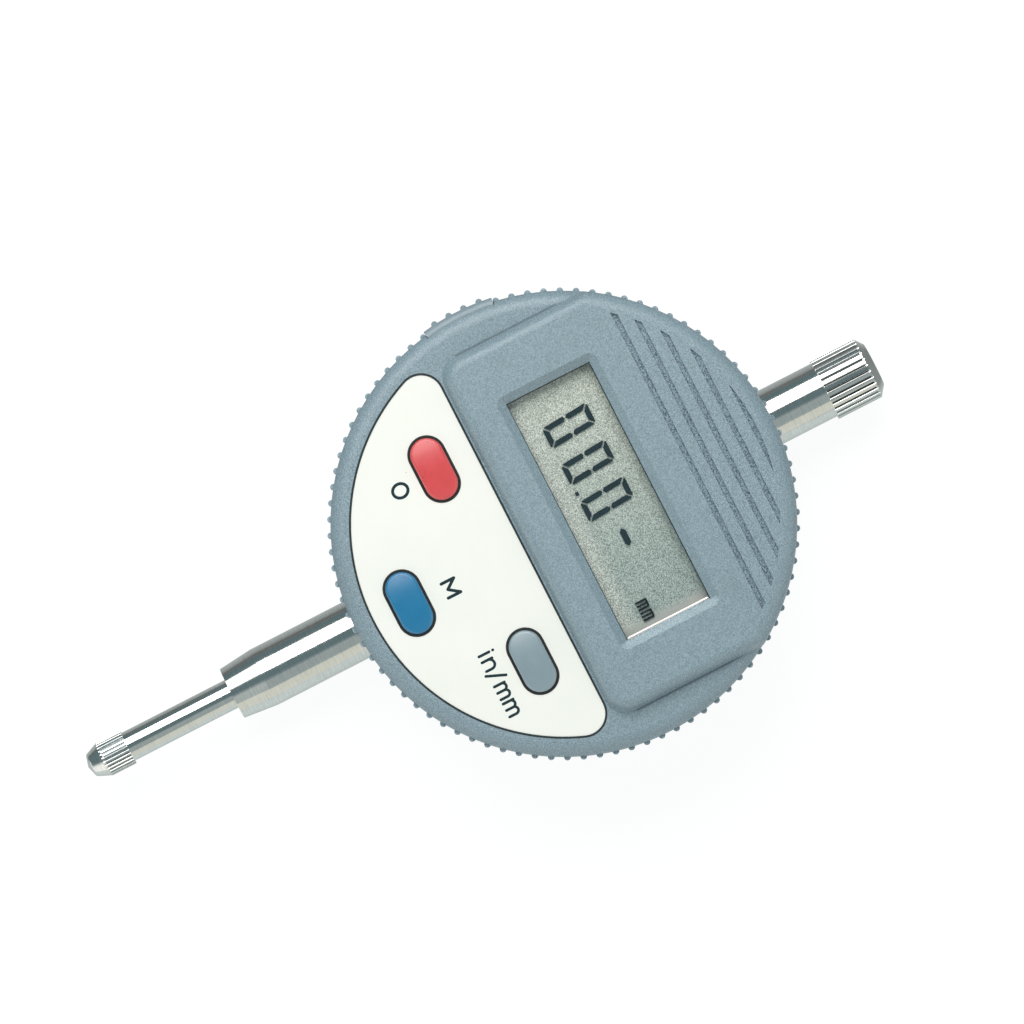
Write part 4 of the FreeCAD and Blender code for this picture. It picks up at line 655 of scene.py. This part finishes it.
def cover_plastic():
    """The nylon of the cover: coarse in its grooves and painted darker there as shade, painted
    darker as shade in the creases beside the platform, and painted paler as light on the crests of
    the ribs and on the bevel at the window's right end."""
    finish, tree, shader = new_finish("cover_nylon")
    place = position(tree)
    x, y, z = x_y_z(tree, place)
    radius = from_axis(tree, x, y)
    fine = grain(tree, place, 7.02, 2.0, 0.14)
    coarse = grain(tree, place, 6.0, 2.0, 0.12)
    slow = grain(tree, place, 0.09, 2.0, 0.25)
    tone = between(tree, slow, shaded(case_grey, 0.97), shaded(case_grey, 1.03))
    # The groove floors: coarse grain, and painted darker as shade in the grooves
    groove = where(tree, maths(tree, "LESS_THAN", radius, groove_radius),
                   (y, "GREATER_THAN", groove_low_y), (z, "LESS_THAN", groove_high_z))
    speckled = between(tree, fine, grey(0.76), grey(1.24))
    pitted_and_painted_shade = between(tree, coarse, (0.30, 0.34, 0.37, 1), (1.28, 1.31, 1.34, 1))
    marked = between(tree, groove, speckled, pitted_and_painted_shade)

    # Painted shade: a dark line along the creases at the foot of the platform's sides
    aside = maths(tree, "ABSOLUTE", maths(tree, "SUBTRACT", maths(tree, "ABSOLUTE", x), crease_x))
    crease_painted_shade = maths(tree, "MULTIPLY", fade(tree, aside, crease_core, crease_half, 1.0, 0.0),
                  fade(tree, radius, crease_full_radius, crease_end_radius, 1.0, 0.0))
    crease_painted_shade = where(tree, crease_painted_shade, (y, "GREATER_THAN", crease_low_y))
    marked = between(tree, crease_painted_shade, marked, (0.52, 0.55, 0.57, 1))

    # Painted light: the crests of the ribs and the bevel at the window's right end, which faces the
    # lamps, are made paler
    bevel_painted_highlight = where(tree, fade(tree, x, bevel_start, bevel_solid), (x, "LESS_THAN", bevel_foot),
                  (y, "GREATER_THAN", bevel_low_y), (y, "LESS_THAN", bevel_high_y),
                  (z, "LESS_THAN", bevel_high_z))
    rib_crest_painted_light = fade(tree, radius, rib_foot, rib_crest, 0.0, rib_painted_light_share)
    rubbed = between(tree, fine, (1.0, 0.98, 0.96, 1), (1.9, 1.78, 1.72, 1))
    marked = between(tree, maths(tree, "MAXIMUM", rib_crest_painted_light, bevel_painted_highlight), marked, rubbed)

    tree.links.new(tinted(tree, tone, marked), shader.inputs["Base Color"])
    tree.links.new(span(tree, fine, 0.19, 0.30), shader.inputs["Roughness"])
    shader.inputs["Specular IOR Level"].default_value = 0.8
    relief = node(tree, "Mix", {0: groove, 2: fine, 3: coarse}).outputs[0]
    roughen(tree, shader, relief, 0.02)
    return finish


dress(cover_plastic(), "front_cover")

# Port cover. A plug of softer grey plastic closes the data socket at the left of the rim. It has
# the same ribs as the rim, so that a fingernail can pull it out.
dress(moulded_plastic("port_plastic", paint(131, 149, 157), speckle=0.12, relief=0.014,
                      rough=(0.3, 0.42)), "port_cover")

# Button panel. The white panel is a plate of glossy ABS, stuck into its recess in the cover. A
# black line of glue shows all round it. Dark seals fill the gaps round the buttons, in part as
# painted shade of the gaps, and a thin black lip round each on the panel is a painted shadow of the
# button. The marks of the buttons are printed on the panel in dark ink.
panel_radius, panel_edge, panel_corner, panel_top = 27.15, -5.95, 2.85, 22.95
corner_steps, arc_steps = 12, 120
line_width, line_low, line_top, line_spread = 0.15, 22.37, 22.94, 0.06
bead_low, bead_top = 23.002, 23.015


def arc(cx, cy, rx, ry, start, stop, steps=10):
    """Points along part of a circle or ellipse, from one angle in degrees to another."""
    turns = [math.radians(start + (stop - start) * k / steps) for k in range(steps + 1)]
    return [(cx + rx * math.cos(turn), cy + ry * math.sin(turn)) for turn in turns]


def panel_outline(grow):
    """The D shape of the panel, grown by a distance, anticlockwise."""
    radius, corner = panel_radius + grow, panel_corner + grow
    cy = panel_edge - panel_corner
    cx = math.sqrt((panel_radius - panel_corner) ** 2 - cy ** 2)
    turn = math.degrees(math.atan2(cy, cx))
    right = arc(cx, cy, corner, corner, turn, 90, corner_steps)
    left = arc(-cx, cy, corner, corner, 90, 180 - turn, corner_steps)
    round_side = arc(0, 0, radius, radius, 180 - turn, 360 + turn, arc_steps)
    return right + left + round_side[1:-1]


def add_band(work, inner, outer, low, high):
    """A closed strip with a flat top between two outlines of as many points."""
    rings = [[work.verts.new((x / 1000, y / 1000, z / 1000)) for x, y in line]
             for line, z in ((inner, low), (inner, high), (outer, high), (outer, low))]
    for i in range(len(inner)):
        j = (i + 1) % len(inner)
        for ring, following in zip(rings, rings[1:] + rings[:1]):
            work.faces.new((ring[i], ring[j], following[j], following[i]))
    bmesh.ops.recalc_face_normals(work, faces=work.faces)


def panel_plastic():
    """White ABS with slow changes of shade and a few dark specks."""
    finish, tree, shader = new_finish("panel_white")
    place = position(tree)
    slow = grain(tree, place, 0.12, 3.0, 0.3)
    fine = grain(tree, place, 5.0, 2.0, 0.3)
    specks = node(tree, "TexVoronoi", {"Vector": place, "Scale": 0.28}).outputs["Distance"]
    tone = between(tree, slow, paint(242, 244, 235), paint(246, 247, 240))
    white = tinted(tree, tone, between(tree, fine, grey(0.985), grey(1)))
    tree.links.new(between(tree, fade(tree, specks, 0.014, 0.03), paint(150, 158, 150), white),
                   shader.inputs["Base Color"])
    tree.links.new(span(tree, slow, 0.32, 0.42), shader.inputs["Roughness"])
    shader.inputs["Specular IOR Level"].default_value = 0.3
    roughen(tree, shader, fine, 0.003)
    return finish


dress(panel_plastic(), "button_panel")
glue = bmesh.new()
add_band(glue, panel_outline(0.0), panel_outline(line_width), line_low, line_top)
add_band(glue, panel_outline(-line_spread), panel_outline(line_width + line_spread),
         bead_low, bead_top)
glue_line = piece("panel_glue_line", "display_head",
                  [soft_rubber("glue_black", paint(24, 40, 43))], glue)

ink_width, word_ink_width, ink_root, ink_rise, cap_steps = 0.39, 0.35, 0.01, 0.015, 6
zero_x, zero_y, zero_half_width, zero_half_height = -13.25, -16.6, 0.9, 1.0
m_foot, m_head, m_dip, m_left, m_mid, m_right = -17.4, -15.6, -16.95, -0.3, 0.7, 1.7
word_foot, word_height, i_x, n_x, n_width = -17.35, 1.45, 10.15, 11.0, 1.25
dot_low, dot_high, small_m_starts, small_m_arch = 1.95, 2.0, (14.45, 16.9), 0.92
slash_left, slash_right, slash_low, slash_high = 12.75, 13.75, -0.35, 2.05
m_layer, word_layer = 0.0015, 0.0012


def add_stroke(work, points, width, level):
    """One printed line with round ends: a thin raised ribbon along the points."""
    half = width / 2
    left, right = [], []
    for i, (x, y) in enumerate(points):
        ax, ay = points[max(0, i - 1)]
        bx, by = points[min(len(points) - 1, i + 1)]
        length = math.hypot(bx - ax, by - ay)
        nx, ny = -(by - ay) / length * half, (bx - ax) / length * half
        left.append((x + nx, y + ny))
        right.append((x - nx, y - ny))

    def cap(centre, first):
        """The round end of the line, from its first side to the other."""
        cx, cy = centre
        start = math.degrees(math.atan2(first[1] - cy, first[0] - cx))
        return arc(cx, cy, half, half, start, start + 180, cap_steps)[1:-1]

    outline = right + cap(points[-1], right[-1]) + left[::-1] + cap(points[0], left[0])
    add_plate(work, outline, panel_top - ink_root, level)


def arched_leg(x, foot, height, width):
    """The shoulder and leg that n and m are made of, starting at the stem x."""
    r = width / 2
    return arc(x + r, foot + height - r, r, r, 165, 0) + [(x + width, foot)]


print_level = panel_top + ink_rise
marks = bmesh.new()
zero_line = arc(zero_x, zero_y, zero_half_width, zero_half_height, 0, 350, 35)
add_band(marks, drawn_in(zero_line, ink_width / 2), drawn_in(zero_line, -ink_width / 2),
         panel_top - ink_root, print_level)
for rise, line in enumerate((
        [(m_left, m_foot), (m_left, m_head)], [(m_right, m_foot), (m_right, m_head)],
        [(m_left, m_head), (m_mid, m_dip)], [(m_right, m_head), (m_mid, m_dip)])):
    add_stroke(marks, line, ink_width, print_level + m_layer * rise)
word = [[(i_x, word_foot), (i_x, word_foot + word_height)],
        [(i_x, word_foot + dot_low), (i_x, word_foot + dot_high)],
        [(n_x, word_foot), (n_x, word_foot + word_height)],
        arched_leg(n_x, word_foot, word_height, n_width),
        [(slash_left, word_foot + slash_low), (slash_right, word_foot + slash_high)]]
for start in small_m_starts:
    word += [[(start, word_foot), (start, word_foot + word_height)],
             arched_leg(start, word_foot, word_height, small_m_arch),
             arched_leg(start + small_m_arch, word_foot, word_height, small_m_arch)]
# Each line lies a hair above the one that it crosses, so that no two share a face
for rise, line in enumerate(word):
    add_stroke(marks, line, word_ink_width, print_level + word_layer * (rise % 3))
printing = piece("panel_printing", "display_head",
                 [printed_ink("print_ink", paint(28, 52, 58))], marks)

# Buttons. The three buttons are moulded in coloured ABS with gently domed tops, and each moves in a
# black seal, which is in part painted shade, with a black lip on the panel as a painted shadow
# round it. A plunger under each presses its switch.
button_centres = ((-13.75, -11.5), (0.0, -22.1), (13.75, -11.5))
button_length, button_width, end_steps = 8.35, 4.27, 24
seal_inner_gap, seal_outer_gap, seal_low, seal_top = 0.015, 0.225, 22.38, 22.9
# The lip: a thin black ring on the panel round each button, a painted shadow
shadow_lip_gap, shadow_lip_low, shadow_lip_top = 0.36, 22.955, 22.99


def button_outline(cx, cy, gap):
    """The outline of a button with round ends, grown by a gap."""
    r, half = button_width / 2 + gap, (button_length - button_width) / 2
    return (arc(cx + half, cy, r, r, -90, 90, end_steps)
            + arc(cx - half, cy, r, r, 90, 270, end_steps))


# Dark seals in the gaps, in part painted shade, and black lips on the panel as painted shadows
seals_and_painted_shadow = bmesh.new()
for cx, cy in button_centres:
    for gap, low, top in ((seal_outer_gap, seal_low, seal_top), (shadow_lip_gap, shadow_lip_low, shadow_lip_top)):
        add_band(seals_and_painted_shadow, button_outline(cx, cy, seal_inner_gap), button_outline(cx, cy, gap),
                 low, top)
seal_and_painted_shadow = piece("button_seals_and_painted_shadow", "display_head", [soft_rubber("seal_rubber_and_painted_shadow", paint(26, 30, 31))],
             seals_and_painted_shadow)


def button_plastic(name, colour, gloss):
    """Coloured ABS, a little paler where fingers have worn its gloss."""
    finish, tree, shader = new_finish(name)
    place = position(tree)
    slow = grain(tree, place, 0.5, 3.0, 0.3)
    fine = grain(tree, place, 6.0, 2.0, 0.25)
    tone = between(tree, slow, shaded(colour, 0.96), shaded(colour, 1.06))
    marked = between(tree, fine, grey(0.96), grey(1.03))
    tree.links.new(tinted(tree, tone, marked), shader.inputs["Base Color"])
    tree.links.new(span(tree, slow, 0.25, 0.38), shader.inputs["Roughness"])
    shader.inputs["Specular IOR Level"].default_value = 0.6
    shader.inputs["Coat Weight"].default_value = gloss
    shader.inputs["Coat Roughness"].default_value = 0.2
    roughen(tree, shader, fine, 0.004)
    return finish


dress(button_plastic("button_red", paint(216, 76, 78), gloss=0.6), "zero_button")
dress(button_plastic("button_blue", paint(26, 118, 162), gloss=0.4), "mode_button")
dress(button_plastic("button_grey", paint(134, 154, 161), gloss=1.0), "unit_button")

# Studio. The indicator lies on its back on a pale sheet, under two soft boxes in one row that lean
# over its left side. Grey and white cards round it give the steel its bands.
softbox_tilt, softbox_distance, softbox_lift = math.radians(40), 0.55, 0.015
softbox_width, softbox_colour = 0.458, (1.0, 0.965, 0.955)
softbox_parts = ((0.46, 0.10, 4.2), (0.20, -0.23, 1.6))
floor_half, floor_drop, floor_grey = 1.5, 0.0002, (0.145, 0.152, 0.156, 1)
floor_glow, floor_sheen, floor_bounce = 0.90, 0.60, 0.65
sheen_start_x, sheen_full_x, cap_end_y, dim_y, dim_share = -40.0, 15.0, 46.0, 56.0, 0.3


def rays(tree, *kinds):
    """1 for the rays of these kinds, and 0 for all others."""
    seen = node(tree, "LightPath")
    total = seen.outputs[kinds[0]]
    for kind in kinds[1:]:
        total = maths(tree, "MAXIMUM", total, seen.outputs[kind])
    return total


def sheet_paper():
    """Pale paper: white to the camera, and with a soft light of its own on the steel and on
    the undersides."""
    finish = bpy.data.materials.new("pale_sheet")
    finish.use_nodes = True
    tree = finish.node_tree
    tree.nodes.clear()
    diffuse = node(tree, "BsdfDiffuse", {"Color": floor_grey})
    x, y = x_y_z(tree, position(tree))[:2]
    sheen = maths(tree, "MULTIPLY", fade(tree, x, sheen_start_x, sheen_full_x, 0.0, floor_sheen),
                  fade(tree, y, cap_end_y, dim_y, 1.0, dim_share))
    bounce = maths(tree, "MULTIPLY", rays(tree, "Is Diffuse Ray"), floor_bounce)
    in_steel = maths(tree, "MULTIPLY_ADD", rays(tree, "Is Glossy Ray"), sheen, bounce)
    glow = maths(tree, "MULTIPLY_ADD", rays(tree, "Is Camera Ray", "Is Transmission Ray"),
                 floor_glow, in_steel)
    cool = between(tree, rays(tree, "Is Glossy Ray"), grey(1), (0.9, 1, 1, 1))
    light = node(tree, "Emission", {"Color": cool, "Strength": glow})
    both = node(tree, "AddShader", {0: diffuse.outputs[0], 1: light.outputs[0]})
    node(tree, "OutputMaterial", {"Surface": both.outputs[0]})
    return finish


sheet_mesh = bpy.data.meshes.new("sheet")
sheet_corners = box_outline(-floor_half, -floor_half, floor_half, floor_half)
sheet_mesh.from_pydata([(x, y, -floor_drop) for x, y in sheet_corners], [], [(0, 1, 2, 3)])
sheet_mesh.materials.append(sheet_paper())
sheet = bpy.data.objects.new("sheet", sheet_mesh)
bpy.context.scene.collection.objects.link(sheet)

card_bands = ((-90, (0.13, 0.19, 0.21)), (-9.3, (0.13, 0.19, 0.21)),
              (-8.7, (0.14, 0.20, 0.22)), (9, (0.14, 0.20, 0.22)),
              (10, (0.20, 0.26, 0.28)), (15.7, (0.20, 0.26, 0.28)),
              (16.3, (0.36, 0.42, 0.43)), (50, (0.36, 0.42, 0.43)),
              (52, (0.72, 0.73, 0.66)), (90, (0.76, 0.76, 0.70)))
far_card, near_card, side_card = (0.26, 0.33, 0.36, 1), (1.1, 1.15, 1.16, 1), (1.1, 1.1, 1.08, 1)
far_edge, near_edge, side_edge, right_edge = (0.6, 0.8), (-0.8, -0.95), (0.2, 0.4), (0.1, 0.4)

world = bpy.data.worlds.new("studio")
bpy.context.scene.world = world
world.use_nodes = True
tree = world.node_tree
tree.nodes.clear()
way_x, way_y, way_z = x_y_z(tree, node(tree, "TexCoord").outputs["Generated"])
cards = node(tree, "ValToRGB", {"Fac": fade(tree, maths(tree, "ARCTAN2", way_x, way_z),
                                            -math.pi / 2, math.pi / 2)})
stops = cards.color_ramp.elements
while len(stops) < len(card_bands):
    stops.new(0.5)
for stop, (degrees, colour) in zip(stops, card_bands):
    stop.position = (degrees + 90) / 180
# The colours come second, because a stop that moves past another changes places with it
for stop, (degrees, colour) in zip(stops, card_bands):
    stop.color = colour + (1.0,)
light = between(tree, fade(tree, way_y, *far_edge), cards.outputs["Color"], far_card)
light = between(tree, fade(tree, way_y, *near_edge), light, near_card)
to_the_side = maths(tree, "MULTIPLY", fade(tree, maths(tree, "ABSOLUTE", way_y), *side_edge),
                    fade(tree, way_x, *right_edge))
light = between(tree, to_the_side, light, side_card)
seen = between(tree, rays(tree, "Is Camera Ray"), light, grey(0.93))
background = node(tree, "Background", {"Color": seen, "Strength": 1.0})
node(tree, "OutputWorld", {"Surface": background.outputs[0]})

for length, shift, radiance in softbox_parts:
    lamp_data = bpy.data.lights.new("softbox", "AREA")
    lamp_data.shape = "RECTANGLE"
    lamp_data.size, lamp_data.size_y = softbox_width, length
    lamp_data.energy = radiance * softbox_width * length * math.pi
    lamp_data.color = softbox_colour
    softbox = bpy.data.objects.new("softbox", lamp_data)
    softbox.location = (-math.sin(softbox_tilt) * softbox_distance, shift,
                        math.cos(softbox_tilt) * softbox_distance + softbox_lift)
    softbox.rotation_euler = (0, -softbox_tilt, 0)
    softbox.visible_camera = False
    bpy.context.scene.collection.objects.link(softbox)

# Camera. It looks straight down from 1.175 m through a long lens, with the spindle turned 27
# degrees up from the level across the picture.
view_turn, camera_place = math.radians(27.15), (-0.00436, -0.00517, 1.175)
camera_data = bpy.data.cameras.new("camera")
camera_data.sensor_width, camera_data.lens = 36.0, 318.0
camera_data.clip_start, camera_data.clip_end = 0.05, 10.0
camera = bpy.data.objects.new("camera", camera_data)
camera.location = camera_place
camera.rotation_euler = (0, 0, math.pi / 2 - view_turn)
bpy.context.scene.collection.objects.link(camera)
bpy.context.scene.camera = camera
bpy.context.scene.view_settings.view_transform = "Standard"
